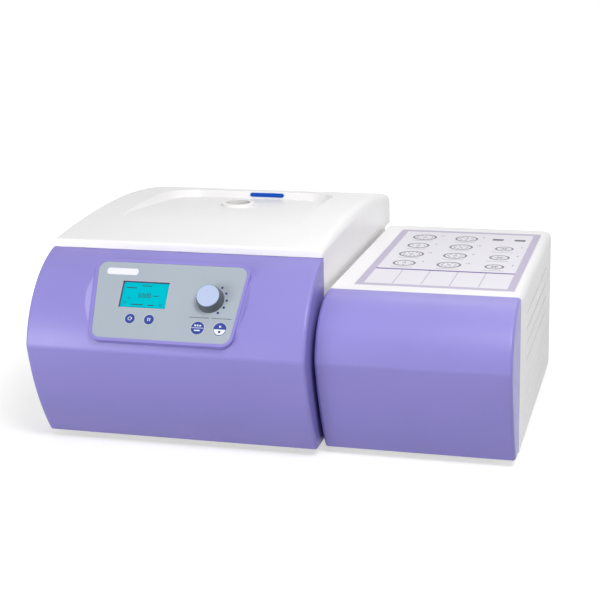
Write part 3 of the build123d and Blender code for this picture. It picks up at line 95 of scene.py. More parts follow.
# %% Light that only the picture sees
def seen_from_camera(tree):
    """A factor of 1 for camera, glossy and transmission rays, and 0 for the light itself."""
    ray = tree.nodes.new("ShaderNodeLightPath")
    mirror = tree.nodes.new("ShaderNodeMath")
    mirror.operation = "MAXIMUM"
    either = tree.nodes.new("ShaderNodeMath")
    either.operation = "MAXIMUM"
    tree.links.new(ray.outputs["Is Camera Ray"], mirror.inputs[0])
    tree.links.new(ray.outputs["Is Glossy Ray"], mirror.inputs[1])
    tree.links.new(mirror.outputs[0], either.inputs[0])
    tree.links.new(ray.outputs["Is Transmission Ray"], either.inputs[1])
    return either.outputs[0]


# %% The floor's surface
floor_finish = bpy.data.materials.new("studio_floor")
floor_finish.use_nodes = True
floor_tree = floor_finish.node_tree
floor_shader = floor_tree.nodes["Principled BSDF"]
floor_shader.inputs["Base Color"].default_value = (0.60, 0.60, 0.60, 1)
floor_shader.inputs["Roughness"].default_value = 0.8
floor_shader.inputs["Emission Color"].default_value = (1, 1, 1, 1)
floor.data.materials.append(floor_finish)
print("floor's shade:", round(floor_shader.inputs["Base Color"].default_value[0], 2))

# %% The floor's glow, from the machine outwards
floor_glow = floor_tree.nodes.new("ShaderNodeMath")
floor_glow.operation = "MULTIPLY"
floor_place = floor_tree.nodes.new("ShaderNodeTexCoord")
floor_reach = floor_tree.nodes.new("ShaderNodeVectorMath")
floor_reach.operation = "DISTANCE"
floor_reach.inputs[1].default_value = -floor_middle
floor_fade = floor_tree.nodes.new("ShaderNodeMapRange")
glow_fade = {"From Min": 0.45, "From Max": 1.6, "To Min": 0.55, "To Max": 1.05}
for socket, value in glow_fade.items():
    floor_fade.inputs[socket].default_value = value
floor_tree.links.new(floor_place.outputs["Object"], floor_reach.inputs[0])
floor_tree.links.new(floor_reach.outputs["Value"], floor_fade.inputs["Value"])
floor_tree.links.new(floor_fade.outputs["Result"], floor_glow.inputs[1])
floor_tree.links.new(seen_from_camera(floor_tree), floor_glow.inputs[0])
floor_tree.links.new(floor_glow.outputs[0], floor_shader.inputs["Emission Strength"])
print("glow near the machine and far out:", glow_fade["To Min"], glow_fade["To Max"])

# %% The white world
world = bpy.data.worlds.new("studio_world")
world.use_nodes = True
bpy.context.scene.world = world
world_tree = world.node_tree
ambient = world_tree.nodes["Background"]
ambient.inputs["Color"].default_value = (1, 1, 1, 1)
ambient.inputs["Strength"].default_value = 0.15
backdrop = world_tree.nodes.new("ShaderNodeBackground")
backdrop.inputs["Color"].default_value = (1, 1, 1, 1)
backdrop.inputs["Strength"].default_value = 1.0
switch = world_tree.nodes.new("ShaderNodeMixShader")
world_tree.links.new(seen_from_camera(world_tree), switch.inputs["Fac"])
world_tree.links.new(ambient.outputs[0], switch.inputs[1])
world_tree.links.new(backdrop.outputs[0], switch.inputs[2])
world_tree.links.new(switch.outputs[0], world_tree.nodes["World Output"].inputs["Surface"])
print("light from the world:", round(ambient.inputs["Strength"].default_value, 2))

# %% [markdown]
# ## Lamps
# Wide lamps give soft edges to every shade. One low at the front left lights the left cover from nose
# to foot. The strongest, high at the front right, lights the tops and the upper curve of the right
# cover, so the tones fall off the way they do in the picture. A small one over the cooling unit
# lights the lid's flank and the chart. The other three only fill, the back one mostly on the tops.
# Their powers were found from renders with one lamp at a time, added up to meet the picture's tones.


# %% Soft lamps
def soft_lamp(name, place, target, size, power):
    """Add a rectangular lamp that faces a target."""
    bpy.ops.object.light_add(type="AREA", location=place)
    lamp = bpy.context.object
    lamp.name = name
    lamp.data.shape = "RECTANGLE"
    lamp.data.size, lamp.data.size_y = size
    lamp.data.energy = power
    way = Vector(target) - Vector(place)
    lamp.rotation_euler = way.to_track_quat("-Z", "Y").to_euler()
    print(name, "is", round(way.length, 2), "from its target")


soft_lamp("lamp_above", (-0.2, -0.2, 2.6), (0, 0, 0.2), size=(2.6, 2.2), power=5)
soft_lamp("lamp_front_left", (-1.3, -1.7, 0.35), (-0.15, -0.25, 0.12), size=(1.0, 0.8), power=18.5)
soft_lamp("lamp_front_right", (0.9, -1.5, 1.9), (0.25, -0.2, 0.2), size=(1.0, 1.0), power=39)
soft_lamp("lamp_right", (2.4, 0.3, 1.0), (0, 0, 0.15), size=(1.4, 1.4), power=2)
soft_lamp("lamp_back", (0.2, 1.6, 2.2), (0, 0, 0.2), size=(1.6, 1.2), power=9)
soft_lamp("lamp_step", (0.55, 0.0, 1.15), (0.2, 0.0, 0.25), size=(0.7, 0.7), power=2.5)

# %% [markdown]
# ## Finishes
# Every finish starts from the Principled shader. A picture of a surface could be wrapped round a
# piece, but it would blur close up and show where it repeats. Here the small unevenness of real
# surfaces comes from noise on object coordinates, so it stays put on the piece and keeps its real
# scale. A noise can move three things: the colour between two close tones, the roughness between two
# values, and the surface itself, on most pieces by a few hundredths of a millimetre.


# %% Colours and plain finishes
def tint(red, green, blue):
    """Turn a colour of a screen, from 0 to 255, into the linear one that a shader takes."""
    return tuple((value / 255) ** 2.2 for value in (red, green, blue))


def shader_of(finish):
    """The Principled shader of a finish."""
    return finish.node_tree.nodes["Principled BSDF"]


def new_finish(name, colour, roughness, metallic=0.0):
    """Make a finish with one colour and one roughness."""
    finish = bpy.data.materials.new(name)
    finish.use_nodes = True
    shader = shader_of(finish)
    shader.inputs["Base Color"].default_value = (*colour, 1)
    shader.inputs["Roughness"].default_value = roughness
    shader.inputs["Metallic"].default_value = metallic
    return finish


# %% Noise, and what it can move
def object_noise(finish, scale, detail=2.0, stretch=(1, 1, 1)):
    """Noise on object coordinates, stretched along an axis for brushed metal."""
    tree = finish.node_tree
    place = tree.nodes.new("ShaderNodeTexCoord")
    turn = tree.nodes.new("ShaderNodeMapping")
    turn.inputs["Scale"].default_value = stretch
    noise = tree.nodes.new("ShaderNodeTexNoise")
    noise.inputs["Scale"].default_value = scale
    noise.inputs["Detail"].default_value = detail
    tree.links.new(place.outputs["Object"], turn.inputs["Vector"])
    tree.links.new(turn.outputs["Vector"], noise.inputs["Vector"])
    return noise


def add_bump(finish, noise, strength, depth):
    """Let a noise raise the surface by a real depth."""
    tree = finish.node_tree
    bump = tree.nodes.new("ShaderNodeBump")
    bump.inputs["Strength"].default_value = strength
    bump.inputs["Distance"].default_value = depth
    tree.links.new(noise.outputs["Fac"], bump.inputs["Height"])
    tree.links.new(bump.outputs["Normal"], shader_of(finish).inputs["Normal"])


noise_low, noise_high = 0.3, 0.7


def add_tone(finish, noise, dark, light):
    """Let a slow noise move the colour between two close tones."""
    tree = finish.node_tree
    ramp = tree.nodes.new("ShaderNodeValToRGB")
    ramp.color_ramp.elements[0].position = noise_low
    ramp.color_ramp.elements[0].color = (*dark, 1)
    ramp.color_ramp.elements[1].position = noise_high
    ramp.color_ramp.elements[1].color = (*light, 1)
    tree.links.new(noise.outputs["Fac"], ramp.inputs["Fac"])
    tree.links.new(ramp.outputs["Color"], shader_of(finish).inputs["Base Color"])


def add_polish(finish, noise, smooth, rough):
    """Let a noise move the roughness between two values."""
    tree = finish.node_tree
    spread = tree.nodes.new("ShaderNodeMapRange")
    spread.inputs["From Min"].default_value = noise_low
    spread.inputs["From Max"].default_value = noise_high
    spread.inputs["To Min"].default_value = smooth
    spread.inputs["To Max"].default_value = rough
    tree.links.new(noise.outputs["Fac"], spread.inputs["Value"])
    tree.links.new(spread.outputs["Result"], shader_of(finish).inputs["Roughness"])


# %% [markdown]
# Four families of surface cover nearly the whole machine. Moulded plastic has the fine grain of its mould
# and a hardly visible change of tone. Powder coat has a soft orange peel, because the powder melts
# into small hills. Brushed metal has long scratches one way, so its noise is stretched. Printing ink
# is flat, with hardly any grain.


# %% Families of finishes
def moulded(name, colour, smooth, rough, grain=900, depth=0.00004, tone=0.03):
    """Moulded plastic: fine grain, slow change of tone and polish."""
    finish = new_finish(name, colour, rough)
    dark = [part * (1 - tone) for part in colour]
    light = [min(1, part * (1 + tone)) for part in colour]
    add_tone(finish, object_noise(finish, scale=9, detail=3), dark, light)
    add_polish(finish, object_noise(finish, scale=40, detail=4), smooth, rough)
    add_bump(finish, object_noise(finish, scale=grain), strength=0.25, depth=depth)
    return finish


def powder_coat(name, colour, smooth, rough):
    """Powder coat on sheet metal: soft orange peel with a little gloss."""
    finish = new_finish(name, colour, rough)
    dark = [part * 0.97 for part in colour]
    light = [min(1, part * 1.02) for part in colour]
    add_tone(finish, object_noise(finish, scale=6, detail=3), dark, light)
    add_polish(finish, object_noise(finish, scale=60, detail=3), smooth, rough)
    add_bump(finish, object_noise(finish, scale=420, detail=3), strength=0.35, depth=0.00006)
    return finish


def brushed(name, colour, smooth, rough, stretch=(1, 40, 40)):
    """Brushed metal: long fine scratches along one axis."""
    finish = new_finish(name, colour, rough, metallic=1.0)
    scratches = object_noise(finish, scale=60, detail=6, stretch=stretch)
    add_polish(finish, scratches, smooth, rough)
    add_bump(finish, scratches, strength=0.2, depth=0.00003)
    dark = [part * 0.9 for part in colour]
    light = [min(1, part * 1.05) for part in colour]
    add_tone(finish, object_noise(finish, scale=12, detail=3), dark, light)
    return finish


film_grain, film_grain_depth = 2400, 0.00001


def ink(name, colour, smooth, tone):
    """Printing ink of a screen's colour: flat, with hardly any grain."""
    rough = smooth + 0.08
    return moulded(name, tint(*colour), smooth, rough, film_grain, film_grain_depth, tone)


# %% [markdown]
# The covers are lavender mouldings with a soft sheen, and the lid is a smoother white one. The panel's
# film and the chart's label are flat and almost without grain. The bar on the lid is a clear strong
# blue, which a mirror of the white room would wash out, so it reflects less than the others.

# %% Plastic finishes
lavender = moulded("lavender_shell", (0.246, 0.216, 0.570), 0.34, 0.42)
hood_white = moulded("white_hood", (0.86, 0.85, 0.85), 0.30, 0.38, tone=0.012)
film_grey = moulded(
    "panel_film", (0.345, 0.392, 0.448), 0.42, 0.50, film_grain, film_grain_depth, tone=0.015
)
black_plastic = moulded("black_plastic", (0.012, 0.012, 0.014), 0.35, 0.48)
navy_plastic = moulded("navy_key", (0.020, 0.045, 0.270), 0.34, 0.42, 1800, 0.00002)
blue_plastic = moulded("blue_bar", (0.002, 0.066, 0.420), 0.30, 0.38)
shader_of(blue_plastic).inputs["Specular IOR Level"].default_value = 0.2
knob_grey = moulded("knob_grey", (0.086, 0.100, 0.117), 0.38, 0.48)
knob_face = moulded("knob_face", (0.430, 0.510, 0.710), 0.26, 0.34, 3000, 0.00001)
label_white = moulded("label_film", (0.72, 0.70, 0.76), 0.36, 0.44, 2200, 0.00001, tone=0.01)
board_green = moulded("circuit_board", (0.010, 0.090, 0.035), 0.35, 0.45)
foam_cream = moulded("foam", (0.70, 0.62, 0.36), 0.8, 0.95, 160, 0.0008, tone=0.08)
winding_brown = moulded("winding", (0.17, 0.045, 0.012), 0.4, 0.6, 500, 0.0003, tone=0.2)
seal_rubber = moulded("seal_rubber", (0.075, 0.080, 0.090), 0.6, 0.75, 700, 0.00005)
foot_rubber = moulded("foot_rubber", (0.012, 0.012, 0.012), 0.6, 0.8, 500, 0.00008)
lavender_base = shader_of(lavender).inputs["Base Color"].default_value
print("lavender as a shader takes it:", [round(part, 3) for part in lavender_base[:3]])

# %% [markdown]
# The printed marks need nine inks, from white to navy. Their colours are given as a screen shows
# them, because that is how one compares them with a picture, and are turned into linear ones. All of
# them share one fine grain; only the polish and the change of tone differ a little.

# %% Printing inks
ink_navy = ink("ink_navy", (24, 30, 106), smooth=0.42, tone=0.03)
ink_white = ink("ink_white", (224, 226, 236), smooth=0.40, tone=0.01)
ink_pale = ink("ink_pale", (186, 193, 198), smooth=0.42, tone=0.01)
ink_pink = ink("ink_pink", (205, 160, 168), smooth=0.42, tone=0.02)
ink_lilac = ink("ink_lilac", (176, 167, 192), smooth=0.38, tone=0.015)
ink_purple = ink("ink_purple", (86, 50, 138), smooth=0.38, tone=0.02)
ink_grey = ink("ink_grey", (94, 94, 102), smooth=0.40, tone=0.03)
ink_slate = ink("ink_slate", (66, 70, 84), smooth=0.40, tone=0.03)
ink_teal = ink("ink_teal", (0, 56, 70), smooth=0.30, tone=0.03)
print("inks:", sum(material.name.startswith("ink_") for material in bpy.data.materials))

# %% [markdown]
# The cabinet is powder coated sheet, a shade duller than the lid. The bowl, the liner, the rotor and
# the shafts are bare metals, whose scratches run round or along the piece, as a tool leaves them. The
# copper pipes have no such direction, and the cast housings are painted: dull, dark and coarse. The
# sight glass is a little smoky, because one looks through it into a dark bowl.

# %% Coated, metal and glass finishes
cabinet_white = powder_coat("cabinet_white", (0.83, 0.82, 0.83), 0.36, 0.46)
enamel_black = powder_coat("black_enamel", (0.015, 0.015, 0.018), 0.25, 0.35)
stainless = brushed("stainless", (0.60, 0.61, 0.62), 0.20, 0.34, stretch=(8, 8, 60))
zinc = brushed("zinc_plate", (0.52, 0.52, 0.50), 0.30, 0.45)
ground_steel = brushed("ground_steel", (0.50, 0.50, 0.52), 0.16, 0.28, stretch=(30, 30, 1))
liner_metal = brushed("liner_metal", (0.66, 0.67, 0.68), 0.24, 0.36, stretch=(1, 50, 50))
anodised = brushed("anodised_rotor", (0.10, 0.13, 0.20), 0.26, 0.36, stretch=(30, 30, 60))
copper = brushed("copper", (0.72, 0.32, 0.16), 0.25, 0.42, stretch=(10, 10, 10))
cast_grey = moulded("cast_housing", (0.16, 0.17, 0.19), 0.45, 0.6, 260, 0.0003, tone=0.08)
sight_glass = new_finish("clear_glass", (0.72, 0.66, 0.60), 0.03)
shader_of(sight_glass).inputs["Transmission Weight"].default_value = 1.0
shader_of(sight_glass).inputs["IOR"].default_value = 1.45
print("materials, with those that came with the frame:", len(bpy.data.materials))

# %% [markdown]
# The display is a lit liquid crystal behind clear plastic: a flat cyan ground with a little light of
# its own, a fine dot grid and a smooth face. It could be a picture, but a plain ground leaves the
# figures on it to be real thin shapes.

# %% The lit display
display_cyan = new_finish("display_cyan", tint(0, 176, 190), 0.16)
display_dots = object_noise(display_cyan, scale=2600, detail=0)
add_tone(display_cyan, display_dots, tint(0, 166, 180), tint(2, 180, 194))
add_polish(display_cyan, object_noise(display_cyan, scale=30), 0.12, 0.2)
shader_of(display_cyan).inputs["Specular IOR Level"].default_value = 0.03
shader_of(display_cyan).inputs["Emission Color"].default_value = (*tint(0, 186, 200), 1)
shader_of(display_cyan).inputs["Emission Strength"].default_value = 0.06
print("display's nodes:", len(display_cyan.node_tree.nodes))

# %% [markdown]
# ## Dressing the CAD pieces
# The record names a finish for every node. Each of those names is given the material that was made
# for it, and each node's mesh then carries that material and no other.

# %% Give each node its finish
slot_finishes = {
    "lavender_shell": lavender,
    "white_hood": hood_white,
    "white_cabinet": cabinet_white,
    "panel_film": film_grey,
    "display_glass": display_cyan,
    "black_plastic": black_plastic,
    "navy_plastic": navy_plastic,
    "blue_plastic": blue_plastic,
    "grey_plastic": knob_grey,
    "knob_face": knob_face,
    "circuit_board": board_green,
    "zinc_plate": zinc,
    "stainless": stainless,
    "steel_shaft": ground_steel,
    "winding": winding_brown,
    "iron_housing": cast_grey,
    "anodised": anodised,
    "liner_metal": liner_metal,
    "copper": copper,
    "foam": foam_cream,
    "seal_rubber": seal_rubber,
    "foot_rubber": foot_rubber,
    "clear_glass": sight_glass,
    "black_enamel": enamel_black,
    "label_film": label_white,
}
for subpart in frame["record"]["subparts"]:
    node = nodes[subpart["node"]]
    node.data.materials.clear()
    node.data.materials.append(slot_finishes[subpart["material_slot"]])

# %% [markdown]
# ## Printed films
# The films on the real machine are screen printed: flat shapes of ink a few hundredths of a
# millimetre thick. They could be painted into one material, but then their edges would blur close up.
# So each shape here is real: it starts as a plane or a circle, gets its corners and its hole in edit
# mode, and is raised into a thin closed print. All sizes on a film are in millimetres.


# %% Opening and closing a mesh
def metres(size):
    """Turn millimetres into metres."""
    return size / 1000


def open_mesh(piece):
    """Select one piece alone and open its mesh with everything picked."""
    bpy.ops.object.select_all(action="DESELECT")
    piece.select_set(True)
    bpy.context.view_layer.objects.active = piece
    bpy.ops.object.mode_set(mode="EDIT")
    bpy.ops.mesh.select_all(action="SELECT")


def pick_edges(piece, wanted):
    """Open a piece's mesh with only those edges picked whose two ends are wanted."""
    open_mesh(piece)
    bpy.ops.mesh.select_all(action="DESELECT")
    bpy.ops.object.mode_set(mode="OBJECT")
    for edge in piece.data.edges:
        edge.select = all(wanted(piece.data.vertices[index].co) for index in edge.vertices)
    bpy.ops.object.mode_set(mode="EDIT")
    bpy.ops.mesh.select_mode(type="EDGE")


def raise_print(height):
    """Give the open flat shape its thickness and turn its faces outwards."""
    bpy.ops.mesh.select_all(action="SELECT")
    bpy.ops.mesh.extrude_region_move(TRANSFORM_OT_translate={"value": (0, 0, metres(height))})
    bpy.ops.mesh.select_all(action="SELECT")
    bpy.ops.mesh.normals_make_consistent(inside=False)
    bpy.ops.object.mode_set(mode="OBJECT")


# %% [markdown]
# Two shapes make up nearly every print: a rectangle, full or as an outline, and a disc, which turns
# into a ring with a hole and into a triangle with three points. The figures are plain text made into
# a mesh, because a text object can't be joined to the other shapes of its print.

# %% Flat shapes with a thickness
print_height = 0.06


def strip(x, y, width, height, corner=0.0, line=0.0, thick=print_height):
    """A flat rectangle with rounded corners, or only its outline."""
    bpy.ops.mesh.primitive_plane_add(size=metres(1), location=(metres(x), metres(y), 0))
    piece = bpy.context.object
    piece.scale = (width, height, 1)
    bpy.ops.object.transform_apply(location=False, rotation=False, scale=True)
    open_mesh(piece)
    if corner:
        bpy.ops.mesh.bevel(affect="VERTICES", offset=metres(corner), segments=6)
        bpy.ops.mesh.select_all(action="SELECT")
    if line:
        bpy.ops.mesh.inset(thickness=metres(line))
        bpy.ops.mesh.delete(type="FACE")
    raise_print(thick)
    return piece


def disc(x, y, radius, hole=0.0, points=40, turn=0.0):
    """A flat disc or ring, or with few points a triangle or another polygon."""
    bpy.ops.mesh.primitive_circle_add(
        vertices=points,
        radius=metres(radius),
        fill_type="NGON",
        location=(metres(x), metres(y), 0),
        rotation=(0, 0, turn),
    )
    piece = bpy.context.object
    open_mesh(piece)
    if hole:
        bpy.ops.mesh.inset(thickness=metres(radius - hole))
        bpy.ops.mesh.delete(type="FACE")
    raise_print(print_height)
    return piece


def lower_half(piece, height):
    """Cut a flat shape along a level line and keep what lies below it."""
    open_mesh(piece)
    cut = (0, metres(height), 0)
    bpy.ops.mesh.bisect(plane_co=cut, plane_no=(0, 1, 0), use_fill=True, clear_outer=True)
    bpy.ops.object.mode_set(mode="OBJECT")
    return piece


def figures(text, x, y, size, turn=0.0):
    """Plain figures as a raised print."""
    half_height = metres(print_height) / 2
    place = (metres(x), metres(y), half_height)
    bpy.ops.object.text_add(location=place, rotation=(0, 0, turn))
    piece = bpy.context.object
    piece.data.body = text
    piece.data.size = metres(size)
    piece.data.align_x = "CENTER"
    piece.data.align_y = "CENTER"
    piece.data.extrude = half_height
    piece.data.resolution_u = 3
    bpy.ops.object.convert(target="MESH")
    piece = bpy.context.object
    open_mesh(piece)
    bpy.ops.mesh.remove_doubles(threshold=0.000001)
    bpy.ops.mesh.normals_make_consistent(inside=False)
    bpy.ops.object.mode_set(mode="OBJECT")
    return piece


# %% [markdown]
# The shapes of one print are drawn flat at the origin, joined, and then laid on their surface by a
# frame that says where its middle is and which way it faces. The print rides on the rigid body that
# carries it, so it moves with the lid, with its key or with the rotor.


# %% Laying a print on its place
def settle(parts, place, name, finish, body="housing"):
    """Join flat shapes, lay them on their place, and let them ride on a body."""
    bpy.ops.object.select_all(action="DESELECT")
    for part in parts:
        part.select_set(True)
    bpy.context.view_layer.objects.active = parts[0]
    if len(parts) > 1:
        bpy.ops.object.join()
    piece = bpy.context.object
    bpy.ops.object.transform_apply(location=True, rotation=True, scale=True)
    piece.matrix_world = place
    bpy.ops.object.transform_apply(location=True, rotation=True, scale=True)
    piece.name = name
    piece.data.name = name
    piece.data.materials.clear()
    piece.data.materials.append(finish)
    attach(piece, body)
    print(name, "has", len(piece.data.polygons), "faces and rides on", body)
    return piece


def middle(node):
    """The middle of a node's box at rest."""
    low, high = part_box(node)
    return (Vector(low) + Vector(high)) / 2


# %% [markdown]
# ## Control panel
# The panel leans back by 38 degrees. Its own frame has X to the right, Y up the slope and Z out of
# the cover, and starts at the middle of the film's underside. A place on it is that frame moved out
# by the height of the surface that carries the print: the film, the sunk window or a key.

# %% The panel's frame
lean = radians(38)
film_face = 1.0
window_face = -2.0
key_face = 1.5
panel_out = Vector((0, -cos(lean), sin(lean)))
panel_start = middle("control_overlay") - panel_out * metres(film_face / 2)
panel_frame = Matrix.Translation(panel_start) @ Matrix.Rotation(pi / 2 - lean, 4, "X")


def panel_at(height):
    """The panel's frame, moved out by a height in millimetres."""
    return panel_frame @ Matrix.Translation((0, 0, metres(height)))


print("panel starts at, in mm:", [round(side * 1000, 1) for side in panel_start])

# %% [markdown]
# The display shows a plain speed figure with a few bars round it. A thin coloured line frames it, as
# on the real window, where the film's printed edge meets the clear part; it lies on the film. Inside
# it a dark line on the window is painted shade, the shadow of the sunk window's edge, so one sees the
# step between them.

# %% Frame of the display
display_x, display_y = -36.0, 9.5
window_line = strip(display_x, display_y, 73.4, 43.4, line=0.65)
settle([window_line], panel_at(film_face), "display_line", ink_pink)
# The dark outline is painted shade: black plastic laid on the window where the recess throws its shadow.
window_painted_shade = strip(display_x, display_y, 71.9, 41.9, line=1.1)
settle([window_painted_shade], panel_at(window_face), "display_painted_shade", black_plastic)

# %% The display's picture
picture = [
    figures("5000", display_x, display_y - 0.5, size=10.5),
    figures("12", display_x - 24.5, display_y - 5.0, size=6.0),
]
bars = [
    (1, 15.2, 15, 1.3),
    (-22, 11.4, 17, 1.6),
    (17.5, -0.5, 8, 1.3),
    (-9, -14.6, 19, 1.5),
    (12, -14.9, 10, 1.5),
]
signs = [(-28.5, -12.5, 1.9, 1.1), (27, -13.8, 2.0, 1.2)]
for right, up, width, height in bars:
    picture.append(strip(display_x + right, display_y + up, width, height, corner=0.4))
for right, up, radius, hole in signs:
    picture.append(disc(display_x + right, display_y + up, radius, hole, points=24))
settle(picture, panel_at(window_face), "display_picture", ink_teal)

# %% [markdown]
# Round each key the film has a pale halo, which is a ring a little wider than the key. The two small
# keys stand to the left of the two large ones and a little higher.

# %% Halos round the keys
spin_x, brake_x, small_key_y = -50.2, -20.9, -28.8
program_x, start_x, large_key_y = 54.3, 87.7, -37.4
small_halo = (8.4, 7.6)
large_halo = (10.9, 10.0)
halos = [
    disc(spin_x, small_key_y, *small_halo),
    disc(brake_x, small_key_y, *small_halo),
    disc(program_x, large_key_y, *large_halo),
    disc(start_x, large_key_y, *large_halo),
]
settle(halos, panel_at(film_face), "key_halos", ink_pale)

# %% [markdown]
# The two small keys carry plain signs, a turning arrow for a short spin and two bars for braking. The
# program key has a white line across it, with three small boxes above and a wider one below. Each
# sign rides on its key, so it goes in when the key is pressed.

# %% Signs of the small keys
spin_sign = [
    disc(spin_x, small_key_y, 2.9, hole=2.2, points=32),
    disc(spin_x + 2.6, small_key_y + 0.4, 1.5, points=3, turn=pi / 2),
]
settle(spin_sign, panel_at(key_face), "short_spin_sign", ink_white, "short_spin_key")
brake_sign = [strip(brake_x + right, small_key_y, 1.1, 5, corner=0.3) for right in (-1.4, 1.4)]
settle(brake_sign, panel_at(key_face), "brake_sign", ink_white, "brake_key")

# %% Sign of the program key
program_sign = [strip(program_x, large_key_y, 18.4, 0.7)]
for right in (-3.8, 0, 3.8):
    program_sign.append(strip(program_x + right, large_key_y + 3.6, 2.6, 2.2, corner=0.4))
program_sign.append(strip(program_x, large_key_y - 3.8, 8.5, 1.7, corner=0.4))
settle(program_sign, panel_at(key_face), "program_sign", ink_white, "program_key")

# %% [markdown]
# The start and stop key is navy above and white below. The white half is a disc cut along a level
# line just under the key's middle. A white triangle for the start stands above it, and a navy square
# for the stop lies on top of the white half.

# %% Signs of the start and stop key
start_half = [
    lower_half(disc(start_x, large_key_y, 8.9), large_key_y - 0.5),
    disc(start_x, large_key_y + 3.8, 2.3, points=3, turn=-pi / 2),
]
settle(start_half, panel_at(key_face), "start_stop_half", ink_white, "start_stop_key")
stop_sign = strip(start_x, large_key_y - 4.2, 3.6, 3.2, corner=0.4)
stop_face = key_face + print_height
settle([stop_sign], panel_at(stop_face), "stop_sign", ink_navy, "start_stop_key")

# %% [markdown]
# Five dots on an arc to the right of the knob mark the dial's range. A thin dark rule in two lengths
# parts the knob from its keys, and a small white plate with a fine border stays empty.

# %% Dial marks and rule
knob_x, knob_y, dial_radius = 66.3, 7, 24.3
dots = []
for mark in (-54, -27, 0, 27, 54):
    dot_x = knob_x + dial_radius * cos(radians(mark))
    dot_y = knob_y + dial_radius * sin(radians(mark))
    dots.append(disc(dot_x, dot_y, 1.85, points=24))
settle(dots, panel_at(film_face), "dial_dots", ink_navy)
rule = [strip(rule_x, -21.3, 30, 0.8) for rule_x in (54.2, 87.4)]
settle(rule, panel_at(film_face), "dial_rule", ink_slate)

# %% The empty plate
plate = {"x": -75.8, "y": 44.9, "width": 49.6, "height": 11.2, "corner": 4.5}
settle([strip(**plate)], panel_at(film_face), "empty_plate", ink_white)
plate_line = strip(**plate, line=0.5)
plate_face = film_face + print_height
settle([plate_line], panel_at(plate_face), "empty_plate_line", ink_lilac)

# %% [markdown]
# ## Bar on the lid
# The blue bar is set in a white surround, a thin moulded strip with round ends on the rear wall of
# the lid's sunk field. The wall leans back by 20 degrees. The surround starts in the same plane as
# the bar, and is thinner than it, so the bar stands out of it.

# %% White surround of the bar
wall_lean = radians(20)
bar_depth = 1.5
wall_out = Vector((0, -cos(wall_lean), sin(wall_lean)))
wall_start = middle("accent_bar") - wall_out * metres(bar_depth / 2)
wall_frame = Matrix.Translation(wall_start) @ Matrix.Rotation(pi / 2 - wall_lean, 4, "X")
surround = strip(0, 0, 64.5, 10.4, corner=5.15, thick=0.7)
settle([surround], wall_frame, "bar_surround", ink_white, "lid")

# %% [markdown]
# ## Chart on the cooling unit
# The chart shows which rotors fit. Here it is a plain scheme: a lilac frame, a purple rule, a row of
# empty boxes in front, and behind it three columns of rings and dots that stand for rotors seen from
# above, each over a short ruled line. Its only writing is the number of places in a rotor.

# %% The chart's frame and boxes
chart_low, chart_high = map(Vector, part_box("chart_label"))
chart_middle = (chart_low + chart_high) / 2
chart_top = Matrix.Translation((chart_middle.x, chart_middle.y, chart_high.z))
chart_width = (chart_high.x - chart_low.x) * 1000
chart_length = (chart_high.y - chart_low.y) * 1000
border = 13.0
margin = 1.5
field_width = chart_width - 2 * border
front_y = border - chart_length / 2
chart_frame = strip(0, 0, chart_width - 2 * margin, chart_length - 2 * margin, line=border - margin)
settle([chart_frame], chart_top, "chart_frame", ink_lilac)
chart_rule_y = -88.0
chart_rule = strip(0, chart_rule_y, field_width, 6.5)
settle([chart_rule], chart_top, "chart_rule", ink_purple)
boxes, box_gap = 5, 5
line_y = (chart_rule_y + front_y) / 2
line_length = chart_rule_y - front_y - box_gap
box_lines = []
for box in range(1, boxes):
    line_x = field_width * (box / boxes - 0.5)
    box_lines.append(strip(line_x, line_y, 1.6, line_length))
settle(box_lines, chart_top, "chart_boxes", ink_lilac)

# %% [markdown]
# Six designs of a rotor take turns on the eleven places of the scheme. Each design says how many
# pockets the rotor has, how wide it is, and how far from its middle the pockets lie. Every place gets
# the rotor's rim and hub as rings, a dot for each pocket, the number of pockets and a ruled line.

# %% Rings, dots and numbers of the scheme
rotor_designs = [(4, 18, 10), (10, 19, 11), (6, 15, 5), (12, 20, 13), (8, 19, 11), (6, 16, 6)]
rotor_places = 11
columns = 3
column_step, row_step, first_row = 70.0, 62.0, -48.0
rim_width = 3.2
rings, counts, lines = [], [], []
for place in range(rotor_places):
    sign_x = (place % columns - 1) * column_step
    sign_y = first_row + place // columns * row_step
    pockets, rim, pocket_circle = rotor_designs[place % len(rotor_designs)]
    rings.append(disc(sign_x, sign_y, rim, hole=rim - rim_width, points=48))
    rings.append(disc(sign_x, sign_y, 3.0, hole=1.6, points=24))
    for pocket in range(pockets):
        angle = 2 * pi * pocket / pockets
        dot_x = sign_x + pocket_circle * cos(angle)
        dot_y = sign_y + pocket_circle * sin(angle)
        rings.append(disc(dot_x, dot_y, 1.6, points=16))
    counts.append(figures(str(pockets), sign_x + 27, sign_y + 14, size=8.0))
    lines.append(strip(sign_x, sign_y - 25.0, 34, 1.2))
settle(rings, chart_top, "chart_rings", ink_grey)
settle(counts, chart_top, "chart_counts", ink_slate)
settle(lines, chart_top, "chart_lines", ink_grey)
dark_boxes = [strip(box_x, 140, 18, 12, corner=1) for box_x in (52, 88)]
settle(dark_boxes, chart_top, "chart_dark_boxes", ink_slate)

# %% [markdown]
# ## Screws
# Panels are held by pan-head screws with a cross recess. One is modelled: a low cylinder with its top
# edge rounded, out of which two crossed slots are cut. A profile spun round an axis would give the
# same head, but with a cylinder only the top rim has to be picked and rounded.

# %% The screw's head
head_radius, head_height = metres(3.2), metres(1.8)
head_place = (0, 0, head_height / 2)
bpy.ops.mesh.primitive_cylinder_add(
    vertices=32, radius=head_radius, depth=head_height, location=head_place
)
screw = bpy.context.object
pick_edges(screw, lambda end: end.z > 0)
bpy.ops.mesh.bevel(offset=head_height / 2, segments=3)
bpy.ops.object.mode_set(mode="OBJECT")
print("faces of the head:", len(screw.data.polygons))

